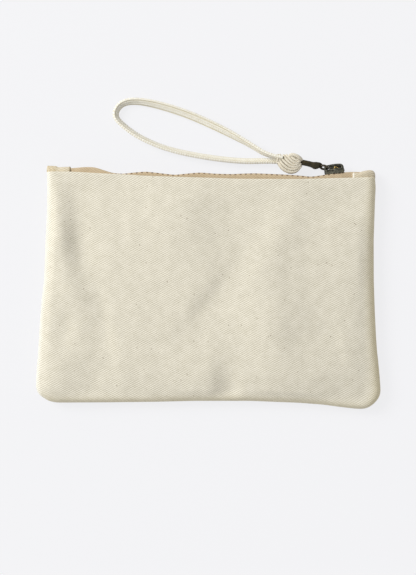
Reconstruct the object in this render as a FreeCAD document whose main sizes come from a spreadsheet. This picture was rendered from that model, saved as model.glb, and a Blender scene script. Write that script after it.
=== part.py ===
import FreeCAD, Part
import os
import Sketcher
from FreeCAD import Rotation, Vector
from math import cos, degrees, pi, radians, sin, tan

# A flat canvas pouch lying on its back, closed by a metal zip along its top edge, with a wrist
# cord knotted to the zip's pull tab. Millimetres and degrees. X runs to the right, Y towards the
# zip, Z up from the resting face. The origin is the middle of the resting face.

doc = FreeCAD.newDocument("zippered_pouch")

# ---------------------------------------------------------------- driving dimensions
DRIVING = [
    # the bag
    ("panel_height", 142.0, "canvas, bottom seam to mouth edge"),
    ("top_width", 206.0, "across the mouth"),
    ("bottom_width", 215.0, "across the bottom corners"),
    ("bottom_corner", 9.0, "radius of the bottom corners"),
    ("top_corner", 3.0, "radius of the top corners"),
    ("canvas", 1.0, "cloth thickness"),
    ("seam_level", 5.0, "height of the side seam over the resting face"),
    ("bulge", 4.0, "rise of the front above its mouth edge"),
    ("allowance", 8.0, "depth of the turned-in seam allowance"),
    ("binding_cover", 3.0, "how far the binding reaches over the allowance"),
    ("binding_cloth", 0.6, "thickness of the binding"),
    # the zip
    ("tape_cloth", 0.6, "thickness of the zip tape"),
    ("tape_leg", 12.0, "depth of tape sewn inside the canvas edge"),
    ("chain_rise", 3.4, "middle plane of the teeth above the canvas edge"),
    ("tape_edge", 0.9, "from the middle of the chain to each tape's edge"),
    ("tooth_pitch", 3.25, "from tooth to tooth on one tape"),
    ("tooth_width", 1.25, "along the chain"),
    ("tooth_height", 2.2, "square to the tape"),
    ("tooth_reach", 0.6, "how far a tooth passes the middle of the chain"),
    ("tooth_jaw", 2.5, "from the middle of the chain to the tooth's outer end"),
    ("jaw_play", 0.2, "between a tooth's slot and the tape's edge"),
    ("tab_length", 10.0, "zip end tab along the zip"),
    ("tab_inset", 3.7, "from the side of the bag to the zip end tab"),
    ("cap_foot", 4.0, "depth of an end tab's edges inside the mouth"),
    ("tape_hold", 7.5, "length of tape held inside each end tab"),
    ("stop_length", 1.8, "metal end stops along the chain"),
    # the slider
    ("slider_length", 12.6, "nose to tail"),
    ("slider_park", 4.7, "from the nose to the end tab when the zip is shut"),
    ("plate", 1.0, "thickness of the slider's two plates"),
    ("flange", 0.6, "thickness of the slider's side flanges"),
    ("side_play", 0.15, "between the teeth and the flanges"),
    ("face_play", 0.25, "between the teeth and the plates"),
    ("slot_play", 0.35, "between the tape and the flanges' edges"),
    ("leg_play", 0.3, "between the slider's flanges and the sewn tape"),
    ("wedge_half", 0.6, "half width of the wedge between the plates"),
    ("wedge_play", 0.15, "between the wedge and the parted teeth"),
    ("parting_lead", 2.5, "from the tail to where the teeth start to part"),
    ("parting_run", 6.5, "length over which the teeth part"),
    ("crown_width", 3.0, "bridge over the slider, across"),
    ("crown_strap", 1.0, "thickness of the bridge"),
    ("crown_length", 11.6, "bridge, along the slider"),
    ("crown_room", 3.1, "height under the bridge"),
    ("spring_strip", 0.35, "thickness of the lock spring"),
    ("spring_width", 1.4, "width of the lock spring"),
    # the pull
    ("pull_tilt", 10.0, "rise of link and tab above the chain line"),
    ("bar_diameter", 1.3, "wire of the link"),
    ("bar_play", 0.06, "radial clearance of the tab's eye on the link"),
    ("bar_seat", 0.4, "between the link's inner bar and the bridge's foot"),
    ("link_length", 4.5, "between the link's two bars"),
    ("link_play", 0.15, "between the link's sides and the bridge"),
    ("neck_play", 0.35, "between the link's sides and the pull tab's neck"),
    ("tab_reach", 17.2, "pull tab, from its hinge to its tip"),
    ("tab_width", 5.2, "pull tab, across"),
    ("tab_block", 4.4, "thickness of the pull tab at its hinge end"),
    ("tab_blade", 3.2, "thickness of the pull tab's blade"),
    ("block_start", 2.0, "from the hinge to the thick block"),
    ("block_end", 6.5, "from the hinge to the end of the thick block"),
    ("eye_diameter", 3.0, "cord eye in the pull tab"),
    ("eye_wall", 1.3, "metal beyond the cord eye"),
    # the cord
    ("cord_width", 5.2, "wrist cord"),
    ("knot_length", 15.4, "knot, along X"),
    ("knot_width", 11.0, "knot, across"),
    ("knot_shift", 5.5, "from the tab's cord eye to the middle of the knot"),
    ("knot_play", 0.1, "between the knot and the pull tab"),
    # sewing
    ("stitch_length", 2.6, "one stitch"),
    ("stitch_pitch", 3.4, "stitch to stitch"),
    ("thread", 0.35, "thickness of the thread"),
]
dims = doc.addObject("Spreadsheet::Sheet", "dims")
for row, (alias, value, meaning) in enumerate(DRIVING, start=1):
    dims.set("A%d" % row, alias)
    dims.set("B%d" % row, str(value))
    dims.set("C%d" % row, meaning)
    dims.setAlias("B%d" % row, alias)
doc.recompute()

# ---------------------------------------------------------------- places that follow from them
DERIVED = [
    ("parting", "dims.wedge_half + dims.wedge_play + dims.tooth_reach"),
    ("tail_inner", "dims.tooth_jaw + dims.side_play"),
    ("nose_inner", "tail_inner + parting"),
    ("leg_face", "nose_inner + dims.flange + dims.leg_play"),
    ("mouth_half", "leg_face + dims.tape_cloth"),
    ("mouth_line", "dims.panel_height / 2"),
    ("chain_line", "mouth_line + dims.chain_rise"),
    ("mouth_floor", "dims.canvas"),
    ("mouth_top", "mouth_floor + 2 * mouth_half"),
    ("chain_level", "mouth_floor + mouth_half"),
    ("tab_end", "dims.top_width / 2 - dims.tab_inset"),
    ("tab_fold", "tab_end - dims.tab_length"),
    ("nose", "tab_fold - dims.slider_park"),
    ("tail", "nose - dims.slider_length"),
    ("slider_middle", "(nose + tail) / 2"),
    ("parting_start", "tail + dims.parting_lead"),
    ("parting_end", "parting_start + dims.parting_run"),
    ("channel_half", "dims.tooth_height / 2 + dims.face_play"),
    ("crown_floor", "channel_half + dims.plate"),
    ("crown_top", "crown_floor + dims.crown_room + dims.crown_strap"),
    ("crown_tail", "-dims.slider_length / 2"),
    ("link_half", "dims.crown_width / 2 + dims.link_play"),
    ("bar_along", "crown_tail + dims.crown_strap + dims.bar_seat + dims.bar_diameter / 2"),
    ("bar_rise", "crown_floor + dims.crown_room / 2"),
    ("eye_along", "dims.tab_reach - dims.eye_wall - dims.eye_diameter / 2"),
]
derived = doc.addObject("Spreadsheet::Sheet", "places")
for row, (alias, formula) in enumerate(DERIVED, start=1):
    derived.set("A%d" % row, alias)
    derived.set("B%d" % row, "=" + formula)
    derived.setAlias("B%d" % row, alias)
doc.recompute()


def size(alias):
    """The value of a cell of either sheet."""
    sheet = dims if dims.getCellFromAlias(alias) else derived
    return float(sheet.get(alias))


# ---------------------------------------------------------------- helpers
def plane_of(body, role):
    """One of a body's own origin planes."""
    return next(f for f in body.Origin.OriginFeatures if f.Role == role)


def new_body(label):
    body = doc.addObject("PartDesign::Body", label)
    body.Label = label
    return body


def place(part, along="0", up="0", level="0", turn="0"):
    """Bind a sub-part's place, and its turn about Z, to the sheets."""
    part.Placement.Rotation = Rotation(Vector(0, 0, 1), 0)
    part.setExpression(".Placement.Base.x", along)
    part.setExpression(".Placement.Base.y", up)
    part.setExpression(".Placement.Base.z", level)
    if turn != "0":
        part.setExpression(".Placement.Rotation.Angle", turn)


def polygon_sketch(body, role, name, corners):
    """A closed polygon on an origin plane, each corner bound to the sheets by two expressions."""
    sketch = body.newObject("Sketcher::SketchObject", name)
    sketch.AttachmentSupport = [(plane_of(body, role), "")]
    sketch.MapMode = "FlatFace"
    count = len(corners)
    ring = [Vector(cos(2 * pi * k / count), sin(2 * pi * k / count), 0) for k in range(count)]
    for k in range(count):
        sketch.addGeometry(Part.LineSegment(ring[k], ring[(k + 1) % count]), False)
    for k in range(count):
        sketch.addConstraint(Sketcher.Constraint("Coincident", k, 2, (k + 1) % count, 1))
    for k, (across, up) in enumerate(corners):
        for kind, expression, start in (("DistanceX", across, ring[k].x), ("DistanceY", up, ring[k].y)):
            pin = sketch.addConstraint(Sketcher.Constraint(kind, -1, 1, k, 1, start))
            sketch.setExpression("Constraints[%d]" % pin, expression)
    return sketch


def circle_sketch(body, role, name, across, up, radius):
    """A circle on an origin plane, bound to the sheets."""
    sketch = body.newObject("Sketcher::SketchObject", name)
    sketch.AttachmentSupport = [(plane_of(body, role), "")]
    sketch.MapMode = "FlatFace"
    sketch.addGeometry(Part.Circle(Vector(1, 1, 0), Vector(0, 0, 1), 1), False)
    for kind, expression in (("DistanceX", across), ("DistanceY", up)):
        pin = sketch.addConstraint(Sketcher.Constraint(kind, -1, 1, 0, 3, 1))
        sketch.setExpression("Constraints[%d]" % pin, expression)
    pin = sketch.addConstraint(Sketcher.Constraint("Radius", 0, 1))
    sketch.setExpression("Constraints[%d]" % pin, radius)
    return sketch


def pad(body, name, sketch, length):
    """Pad a sketch by length, half to each side of its plane."""
    feature = body.newObject("PartDesign::Pad", name)
    feature.Profile = sketch
    feature.SideType = "Symmetric"
    feature.setExpression("Length", length)
    sketch.Visibility = False
    return feature


def pocket(body, name, sketch, length):
    """Cut a sketch through the body by length, half to each side of its plane."""
    feature = body.newObject("PartDesign::Pocket", name)
    feature.Profile = sketch
    feature.SideType = "Symmetric"
    feature.setExpression("Length", length)
    sketch.Visibility = False
    return feature


def free_shape(label, shape):
    """A sub-part whose shape no feature or primitive gives."""
    part = doc.addObject("Part::Feature", label)
    part.Label = label
    part.Shape = shape
    part.Placement = FreeCAD.Placement()
    return part


# ---------------------------------------------------------------- the outline of the bag
def half_width(up):
    """Half the bag's width at a distance up from its middle: the sides flare to the bottom."""
    share = 0.5 + up / size("panel_height")
    return (size("bottom_width") + (size("top_width") - size("bottom_width")) * share) / 2


def outline(side, bottom, top, level):
    """The bag's outline drawn in by side, bottom and top at a level, as a closed wire.

    Each corner is a true arc.
    """
    low = -size("panel_height") / 2 + bottom
    high = size("mouth_line") - top
    half_low = half_width(low) - side
    half_high = half_width(high) - side
    corners = [(-half_low, low), (half_low, low), (half_high, high), (-half_high, high)]
    radii = [size("bottom_corner") + side / 2] * 2 + [size("top_corner") + side / 2] * 2
    points = [Vector(x, y, level) for x, y in corners]
    starts, middles, ends = [], [], []
    for k in range(4):
        before = (points[k - 1] - points[k]).normalize()
        after = (points[(k + 1) % 4] - points[k]).normalize()
        half_angle = before.getAngle(after) / 2
        reach = radii[k] / tan(half_angle)
        inward = (before + after).normalize()
        starts.append(points[k] + before * reach)
        middles.append(points[k] + inward * (radii[k] / sin(half_angle) - radii[k]))
        ends.append(points[k] + after * reach)
    edges = []
    for k in range(4):
        edges.append(Part.Arc(starts[k], middles[k], ends[k]).toShape())
        edges.append(Part.LineSegment(ends[k], starts[(k + 1) % 4]).toShape())
    return Part.Wire(edges)


def stack(sections):
    """A closed solid through outlines given as (side, bottom, top, level)."""
    return Part.makeLoft([outline(*section) for section in sections], True, True)


def slab(side, bottom, top, low, high):
    """The outline drawn in and filled between two levels."""
    face = Part.Face(outline(side, bottom, top, low))
    return face.extrude(Vector(0, 0, high - low))


def mouth_cut():
    """The slot that the zip closes, between the two canvas edges."""
    half = size("tab_end")
    back = size("cap_foot") + 0.1
    low = Vector(-half, size("mouth_line") - back, size("mouth_floor"))
    return Part.makeBox(2 * half, 3 * back, 2 * size("mouth_half"), low)


# ---------------------------------------------------------------- canvas panels
canvas = size("canvas")
seam_level = size("seam_level")
mouth_outer = size("mouth_top") + canvas
crown_level = mouth_outer + size("bulge")
inner_edge = canvas + size("allowance")
past_mouth = -5.0  # seam pieces run on past the mouth edge, where the mouth cut ends them


def drawn_in(sections, falls):
    """The same sections one cloth thickness further in: sideways at fall 0, downwards at fall 1."""
    inner = []
    for (side, bottom, top, level), fall in zip(sections, falls):
        step = canvas * (1 - abs(fall))
        inner.append((side + step, bottom + step, top + step, level - canvas * fall))
    return inner


# front: a shallow dome whose wall stands up at the mouth and slopes away from the side seams
front_sections = [
    (0.0, 0.0, 0.0, seam_level),
    (1.0, 1.0, 0.0, seam_level + 3.5),
    (3.4, 4.0, 0.0, size("mouth_top")),
    (6.5, 8.0, 0.9, mouth_outer),
    (22.0, 22.0, 14.0, mouth_outer + 0.65 * size("bulge")),
    (48.0, 44.0, 36.0, crown_level),
]
front_inner = drawn_in(front_sections, [0.0, 0.2, 0.5, 0.8, 0.97, 1.0])
front_inner[0] = front_inner[0][:3] + (seam_level + canvas,)
front_shape = stack(front_sections)
front_shape = front_shape.cut(stack(front_inner))
front_shape = front_shape.cut(slab(inner_edge, inner_edge, past_mouth, seam_level - 1, seam_level + canvas))
front_shape = front_shape.cut(mouth_cut())
front_panel = free_shape("front_panel", front_shape)

# back: a flat tray that the pouch rests on, with a rounded rim up to the side seam
back_sections = [
    (6.0, 6.0, 1.0, 0.0),
    (2.4, 2.4, 0.3, canvas),
    (0.6, 0.6, 0.0, seam_level / 2),
    (0.0, 0.0, 0.0, seam_level),
]
back_inner = drawn_in(back_sections, [-1.0, -0.6, 0.0, 0.0])
back_inner[1] = back_inner[1][:3] + (2 * canvas,)
back_inner[3] = back_inner[3][:3] + (seam_level - canvas,)
back_shape = stack(back_sections)
back_shape = back_shape.cut(stack(back_inner))
allowance_foot = seam_level - 1.5 * canvas
back_shape = back_shape.cut(slab(inner_edge, inner_edge, past_mouth, allowance_foot, seam_level + 1))
back_shape = back_shape.cut(mouth_cut())
back_panel = free_shape("back_panel", back_shape)


# ---------------------------------------------------------------- seam binding and its thread
def seam_only(shape):
    """Keep what lies along the side and bottom seams, clear of the mouth."""
    reach = size("panel_height")
    top = size("mouth_line") - size("cap_foot") - 0.5
    half = size("bottom_width")
    return shape.common(Part.makeBox(2 * half, reach, 40, Vector(-half, top - reach, -5)))


binding_cloth = size("binding_cloth")
binding_outer = inner_edge - size("binding_cover")
binding_inner = inner_edge + binding_cloth
binding_low = seam_level - canvas - binding_cloth
binding_high = seam_level + canvas + binding_cloth
binding = slab(binding_outer, binding_outer, 0, binding_low, binding_high)
binding = binding.cut(slab(binding_inner, binding_inner, past_mouth, binding_low - 1, binding_high + 1))
allowance_room = slab(0, 0, 0, seam_level - canvas, seam_level + canvas)
allowance_room = allowance_room.cut(slab(inner_edge, inner_edge, past_mouth, 0, 2 * seam_level))
seam_binding = free_shape("seam_binding", seam_only(binding.cut(allowance_room)))


def stitch(start, heading, rise=1):
    """One stitch lying on a cloth face: a flat bar from start along heading."""
    length = size("stitch_length")
    thread = size("thread")
    bar = Part.makeBox(length, thread, thread, Vector(0, -thread / 2, 0 if rise > 0 else -thread))
    turn = Rotation(Vector(1, 0, 0), heading)
    bar.Placement = FreeCAD.Placement(start, turn)
    return bar


def stitch_row(start, end, rise=1):
    """Stitches from start to end at the sewing pitch."""
    heading = (end - start).normalize()
    count = int((end - start).Length / size("stitch_pitch"))
    return [stitch(start + heading * (k * size("stitch_pitch")), heading, rise) for k in range(count)]


def seam_rows(inset, level):
    """Stitches along both sides and the bottom, at an inset from the outline."""
    corner = size("bottom_corner") + inset
    low = -size("panel_height") / 2 + inset
    high = size("mouth_line") - size("cap_foot") - canvas
    bottom_half = half_width(low) - inset - corner
    rows = stitch_row(Vector(-bottom_half, low, level), Vector(bottom_half, low, level))
    for hand in (-1, 1):
        foot = Vector(hand * (half_width(low + corner) - inset), low + corner, level)
        head = Vector(hand * (half_width(high) - inset), high, level)
        rows += stitch_row(foot, head)
    return rows


seam_line = 2.2 * canvas
seam_stitches = seam_rows(seam_line, seam_level + canvas)
panel_seam_thread = free_shape("panel_seam_thread", Part.makeCompound(seam_stitches))
binding_line = inner_edge - 0.5 * size("binding_cover")
binding_stitches = seam_rows(binding_line, binding_high)
binding_thread = free_shape("binding_thread", Part.makeCompound(binding_stitches))

# ---------------------------------------------------------------- zip end tabs
HALF_MOUTH = "places.mouth_half"


def zip_end_tab(label, hand):
    """A folded canvas cap over the end of the zip: a bent outer layer, a flat inner layer under
    the tape, and the closed end that joins them at the corner of the bag."""
    body = new_body(label)
    wrap_top = "dims.tape_cloth / 2 + dims.canvas"
    wrap_foot = "-dims.chain_rise - dims.cap_foot"
    wrap_in = "places.mouth_half - dims.canvas"
    cap = polygon_sketch(body, "YZ_Plane", "wrap_" + label, [
        (wrap_foot, "-(%s)" % HALF_MOUTH),
        (wrap_top + " - dims.canvas", "-(%s)" % HALF_MOUTH),
        (wrap_top, "-(%s)" % wrap_in),
        (wrap_top, wrap_in),
        (wrap_top + " - dims.canvas", HALF_MOUTH),
        (wrap_foot, HALF_MOUTH),
        (wrap_foot, wrap_in),
        ("dims.tape_cloth / 2", wrap_in),
        ("dims.tape_cloth / 2", "-(%s)" % wrap_in),
        (wrap_foot, "-(%s)" % wrap_in),
    ])
    pad(body, "outer_layer_" + label, cap, "dims.tab_length")
    end_in = "%d * (dims.tab_length / 2 - dims.canvas)" % hand
    end_out = "%d * dims.tab_length / 2" % hand
    fold = "%d * dims.tab_length / 2" % -hand
    under = "-dims.tape_cloth / 2"
    below = "-dims.tape_cloth / 2 - dims.canvas"
    inner = polygon_sketch(body, "XY_Plane", "hairpin_" + label, [
        (fold, below),
        (end_out, below),
        (end_out, "dims.tape_cloth / 2 + dims.canvas / 2"),
        (end_in, "dims.tape_cloth / 2 + dims.canvas / 2"),
        (end_in, under),
        (fold, under),
    ])
    pad(body, "inner_layer_" + label, inner, "2 * (%s)" % wrap_in)
    middle = "%d * (places.tab_end - dims.tab_length / 2)" % hand
    place(body, middle, "places.chain_line", "places.chain_level")
    return body


left_zip_end_tab = zip_end_tab("left_zip_end_tab", -1)
right_zip_end_tab = zip_end_tab("right_zip_end_tab", 1)


# ---------------------------------------------------------------- zip tapes
def zip_tape(label, side):
    """One tape: a flat strip beside the chain, turned at the canvas edge into a leg that is sewn
    inside. Its inner edge steps outwards where the slider parts the teeth."""
    body = new_body(label)
    far = "(places.tab_fold + dims.tape_hold)"
    strip_edge = "places.mouth_half - dims.canvas - 0.1"
    strip = polygon_sketch(body, "XZ_Plane", "strip_" + label, [
        ("-" + far, "%d * dims.tape_edge" % side),
        ("places.parting_start", "%d * dims.tape_edge" % side),
        ("places.parting_end", "%d * (dims.tape_edge + places.parting)" % side),
        (far, "%d * (dims.tape_edge + places.parting)" % side),
        (far, "%d * (%s)" % (side, strip_edge)),
        ("-" + far, "%d * (%s)" % (side, strip_edge)),
    ])
    pad(body, "flat_" + label, strip, "dims.tape_cloth")
    turn = polygon_sketch(body, "YZ_Plane", "turn_" + label, [
        ("-dims.tape_cloth / 2", "%d * (places.mouth_half - dims.canvas - 0.2)" % side),
        ("dims.tape_cloth / 2", "%d * (places.mouth_half - dims.canvas - 0.2)" % side),
        ("dims.tape_cloth / 2", "%d * (%s)" % (side, HALF_MOUTH)),
        ("-dims.chain_rise - dims.tape_leg + 1", "%d * (%s)" % (side, HALF_MOUTH)),
        ("-dims.chain_rise - dims.tape_leg + 1", "%d * places.leg_face" % side),
        ("-dims.tape_cloth / 2", "%d * places.leg_face" % side),
    ])
    pad(body, "leg_" + label, turn, "2 * places.tab_fold")
    place(body, "0", "places.chain_line", "places.chain_level")
    return body


front_zip_tape = zip_tape("front_zip_tape", 1)
back_zip_tape = zip_tape("back_zip_tape", -1)


# ---------------------------------------------------------------- teeth and end stops
chain_line = size("chain_line")
chain_level = size("chain_level")
tape_half = size("tape_cloth") / 2
tooth_half = size("tooth_height") / 2


def parted(along):
    """How far a tooth stands out from its shut place, at a distance along the zip."""
    share = (along - size("parting_start")) / size("parting_run")
    return size("parting") * min(max(share, 0.0), 1.0)


def clamp(along, side, length, inner, outer):
    """A metal piece clamped on a tape's edge: a head, and two jaws with the tape between them."""
    slot = size("tape_edge") - size("jaw_play")
    profile = [
        (-tooth_half, inner), (tooth_half, inner), (tooth_half, outer), (tape_half, outer),
        (tape_half, slot), (-tape_half, slot), (-tape_half, outer), (-tooth_half, outer),
    ]
    shift = parted(along)
    points = []
    for y, z in profile:
        points.append(Vector(along - length / 2, chain_line + y, chain_level + side * (z + shift)))
    face = Part.Face(Part.makePolygon(points + points[:1]))
    return face.extrude(Vector(length, 0, 0))


def teeth(label, side):
    """All the teeth of one tape, the two tapes half a pitch apart."""
    pitch = size("tooth_pitch")
    first = -size("tab_fold") + 2.5 * size("stop_length")
    last = size("tab_fold") - 2.2 * size("stop_length")
    if side < 0:
        first += pitch / 2
    row = []
    for k in range(int((last - first) / pitch) + 1):
        along = first + k * pitch
        row.append(clamp(along, side, size("tooth_width"), -size("tooth_reach"), size("tooth_jaw")))
    return free_shape(label, Part.makeCompound(row))


front_zip_teeth = teeth("front_zip_teeth", 1)
back_zip_teeth = teeth("back_zip_teeth", -1)

top_stop_along = size("tab_fold") - 0.6 * size("stop_length")
top_stops = free_shape("top_stops", Part.makeCompound([
    clamp(top_stop_along, side, size("stop_length"), -0.3, size("tooth_jaw")) for side in (1, -1)
]))

# the bottom stop is one clip across both tapes
bottom_stop = new_body("bottom_stop")
stop_jaw = "dims.tooth_jaw + 0.4"
stop_web = "dims.tape_edge - dims.jaw_play"
stop_half = "dims.tooth_height / 2"
clip = polygon_sketch(bottom_stop, "YZ_Plane", "clip", [
    ("-" + stop_half, "-(%s)" % stop_jaw),
    ("-dims.tape_cloth / 2", "-(%s)" % stop_jaw),
    ("-dims.tape_cloth / 2", "-(%s)" % stop_web),
    ("dims.tape_cloth / 2", "-(%s)" % stop_web),
    ("dims.tape_cloth / 2", "-(%s)" % stop_jaw),
    (stop_half, "-(%s)" % stop_jaw),
    (stop_half, stop_jaw),
    ("dims.tape_cloth / 2", stop_jaw),
    ("dims.tape_cloth / 2", stop_web),
    ("-dims.tape_cloth / 2", stop_web),
    ("-dims.tape_cloth / 2", stop_jaw),
    ("-" + stop_half, stop_jaw),
])
pad(bottom_stop, "clip_pad", clip, "dims.stop_length")
place(bottom_stop, "-places.tab_fold + dims.stop_length", "places.chain_line", "places.chain_level")

# ---------------------------------------------------------------- sewing of the zip
sewn_half = size("tab_fold") - 1
sewing_line = size("mouth_line") - 4 * canvas
front_leg = chain_level + size("leg_face")
back_leg = chain_level - size("leg_face")
row_start = Vector(-sewn_half, sewing_line, 0)
row_end = Vector(sewn_half, sewing_line, 0)
up = Vector(0, 0, 1)
front_sewing = stitch_row(row_start + up * front_leg, row_end + up * front_leg, -1)
back_sewing = stitch_row(row_start + up * back_leg, row_end + up * back_leg, 1)
front_zip_seam_thread = free_shape("front_zip_seam_thread", Part.makeCompound(front_sewing))
back_zip_seam_thread = free_shape("back_zip_seam_thread", Part.makeCompound(back_sewing))

# ---------------------------------------------------------------- slider body
HALF = "dims.slider_length / 2"
WIDEN_FROM = "dims.parting_lead - dims.slider_length / 2"
WIDEN_TO = "dims.parting_lead + dims.parting_run - 0.5 - dims.slider_length / 2"
TAIL_OUT = "places.tail_inner + dims.flange"
NOSE_OUT = "places.nose_inner + dims.flange"
slider_body = new_body("slider_body")


def heart(tail_half, nose_half, overrun):
    """The slider's plan: narrow at the tail, wider at the nose."""
    front = "%s + %s" % (HALF, overrun)
    back = "-(%s + %s)" % (HALF, overrun)
    return [
        (back, "-(%s)" % tail_half), (WIDEN_FROM, "-(%s)" % tail_half), (WIDEN_TO, "-(%s)" % nose_half),
        (front, "-(%s)" % nose_half), (front, nose_half), (WIDEN_TO, nose_half),
        (WIDEN_FROM, tail_half), (back, tail_half),
    ]


plan = polygon_sketch(slider_body, "XZ_Plane", "plan", heart(TAIL_OUT, NOSE_OUT, "0"))
pad(slider_body, "block", plan, "2 * places.crown_floor")
doc.recompute()
block_volume = slider_body.Shape.Volume
channel_plan = heart("places.tail_inner", "places.nose_inner", "1")
channel = polygon_sketch(slider_body, "XZ_Plane", "channel", channel_plan)
pocket(slider_body, "channel_cut", channel, "2 * places.channel_half")
slot_sides = heart(TAIL_OUT + " + 1", NOSE_OUT + " + 1", "1")
tape_slot = polygon_sketch(slider_body, "XZ_Plane", "tape_slot", slot_sides)
pocket(slider_body, "tape_slot_cut", tape_slot, "dims.tape_cloth + 2 * dims.slot_play")
doc.recompute()
assert slider_body.Shape.Volume < 0.75 * block_volume, "the slider's channel cut nothing"
WEDGE_TIP = "dims.parting_lead + 0.62 * dims.parting_run - dims.slider_length / 2"
WEDGE_FULL = "dims.parting_lead + dims.parting_run + 0.3 - dims.slider_length / 2"
WEDGE_END = "dims.slider_length / 2 - 0.5"
wedge = polygon_sketch(slider_body, "XZ_Plane", "wedge", [
    (WEDGE_TIP, "0"), (WEDGE_FULL, "-dims.wedge_half"), (WEDGE_END, "-dims.wedge_half"),
    (WEDGE_END, "dims.wedge_half"), (WEDGE_FULL, "dims.wedge_half"),
])
pad(slider_body, "wedge_pad", wedge, "2 * places.channel_half + dims.plate")
place(slider_body, "places.slider_middle", "places.chain_line", "places.chain_level")

# ---------------------------------------------------------------- slider crown and lock spring
slider_crown = new_body("slider_crown")
CROWN_END = "places.crown_tail + dims.crown_length"
SHOULDER = "0.8 * dims.crown_strap"
arch = polygon_sketch(slider_crown, "XY_Plane", "arch", [
    ("places.crown_tail", "places.crown_floor"),
    ("places.crown_tail + dims.crown_strap", "places.crown_floor"),
    ("places.crown_tail + dims.crown_strap", "places.crown_top - dims.crown_strap"),
    (CROWN_END + " - dims.crown_strap", "places.crown_top - dims.crown_strap"),
    (CROWN_END + " - dims.crown_strap", "places.crown_floor"),
    (CROWN_END, "places.crown_floor"),
    (CROWN_END, "places.crown_top - " + SHOULDER),
    (CROWN_END + " - " + SHOULDER, "places.crown_top"),
    ("places.crown_tail + " + SHOULDER, "places.crown_top"),
    ("places.crown_tail", "places.crown_top - " + SHOULDER),
])
pad(slider_crown, "arch_pad", arch, "dims.crown_width")
place(slider_crown, "places.slider_middle", "places.chain_line", "places.chain_level")

slider_lock_spring = new_body("slider_lock_spring")
SPRING_FOOT = CROWN_END + " - dims.crown_strap - 0.2"
SPRING_BEND = SPRING_FOOT + " - 1.6"
SPRING_TIP = "places.bar_along + dims.bar_diameter / 2 + 0.4"
SPRING_RISE = "places.crown_floor + 0.75 * dims.crown_room"
strip_shape = polygon_sketch(slider_lock_spring, "XY_Plane", "spring_strip", [
    (SPRING_FOOT, "places.crown_floor"),
    (SPRING_FOOT, "places.crown_floor + dims.spring_strip"),
    (SPRING_BEND + " + dims.spring_strip", "places.crown_floor + dims.spring_strip"),
    (SPRING_BEND + " + dims.spring_strip", SPRING_RISE + " + dims.spring_strip"),
    (SPRING_TIP, SPRING_RISE + " + dims.spring_strip"),
    (SPRING_TIP, "places.crown_floor + 0.6"),
    (SPRING_TIP + " + dims.spring_strip", "places.crown_floor + 0.6"),
    (SPRING_TIP + " + dims.spring_strip", SPRING_RISE),
    (SPRING_BEND, SPRING_RISE),
    (SPRING_BEND, "places.crown_floor"),
])
pad(slider_lock_spring, "spring_pad", strip_shape, "dims.spring_width")
place(slider_lock_spring, "places.slider_middle", "places.chain_line", "places.chain_level")

# ---------------------------------------------------------------- link
# a wire loop: one bar under the bridge, one bar in the pull tab's eye, and two sides
LINK_TURN = "180 - dims.pull_tilt"
link_parts = []
for name, along in (("link_inner_bar", "0"), ("link_outer_bar", "dims.link_length")):
    bar = doc.addObject("Part::Cylinder", name)
    bar.setExpression("Radius", "dims.bar_diameter / 2")
    bar.setExpression("Height", "2 * (places.link_half + dims.bar_diameter)")
    bar.setExpression(".Placement.Base.x", along)
    bar.setExpression(".Placement.Base.z", "-places.link_half - dims.bar_diameter")
    link_parts.append(bar)
RAIL_LEVELS = (
    ("link_near_side", "places.link_half"),
    ("link_far_side", "-places.link_half - dims.bar_diameter"),
)
for name, low in RAIL_LEVELS:
    rail = doc.addObject("Part::Box", name)
    rail.setExpression("Length", "dims.link_length")
    rail.setExpression("Width", "dims.bar_diameter")
    rail.setExpression("Height", "dims.bar_diameter")
    rail.setExpression(".Placement.Base.y", "-dims.bar_diameter / 2")
    rail.setExpression(".Placement.Base.z", low)
    link_parts.append(rail)
pull_link = doc.addObject("Part::MultiFuse", "pull_link")
pull_link.Label = "pull_link"
pull_link.Shapes = link_parts
HINGE_ALONG = "places.slider_middle + places.bar_along"
HINGE_UP = "places.chain_line + places.bar_rise"
place(pull_link, HINGE_ALONG, HINGE_UP, "places.chain_level", LINK_TURN)

# ---------------------------------------------------------------- pull tab
# its own X runs from the hinge to the tip
pull_tab = new_body("pull_tab")
neck = polygon_sketch(pull_tab, "XZ_Plane", "neck", [
    ("0", "-(places.link_half - dims.neck_play)"),
    ("dims.block_start", "-(places.link_half - dims.neck_play)"),
    ("dims.block_start", "places.link_half - dims.neck_play"),
    ("0", "places.link_half - dims.neck_play"),
])
pad(pull_tab, "neck_pad", neck, "dims.bar_diameter + 1.1")
knuckle = circle_sketch(pull_tab, "XY_Plane", "knuckle", "0", "0", "dims.bar_diameter / 2 + 0.85")
pad(pull_tab, "knuckle_pad", knuckle, "2 * (places.link_half - dims.neck_play)")
block = polygon_sketch(pull_tab, "XY_Plane", "block_side", [
    ("dims.block_start", "-dims.tab_block / 2"),
    ("dims.block_end", "-dims.tab_block / 2"),
    ("dims.block_end + 1", "-dims.tab_blade / 2"),
    ("dims.tab_reach", "-dims.tab_blade / 2"),
    ("dims.tab_reach", "dims.tab_blade / 2"),
    ("dims.block_end + 1", "dims.tab_blade / 2"),
    ("dims.block_end", "dims.tab_block / 2"),
    ("dims.block_start", "dims.tab_block / 2"),
])
pad(pull_tab, "block_pad", block, "dims.tab_width")
BORE_RADIUS = "dims.bar_diameter / 2 + dims.bar_play"
hinge_bore = circle_sketch(pull_tab, "XY_Plane", "hinge_bore", "0", "0", BORE_RADIUS)
pocket(pull_tab, "hinge_bore_cut", hinge_bore, "dims.tab_width")
eye = circle_sketch(pull_tab, "XZ_Plane", "eye", "places.eye_along", "0", "dims.eye_diameter / 2")
pocket(pull_tab, "eye_cut", eye, "dims.tab_block")
tab_along = HINGE_ALONG + " - dims.link_length * cos(dims.pull_tilt * 1deg)"
tab_up = HINGE_UP + " + dims.link_length * sin(dims.pull_tilt * 1deg)"
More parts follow.
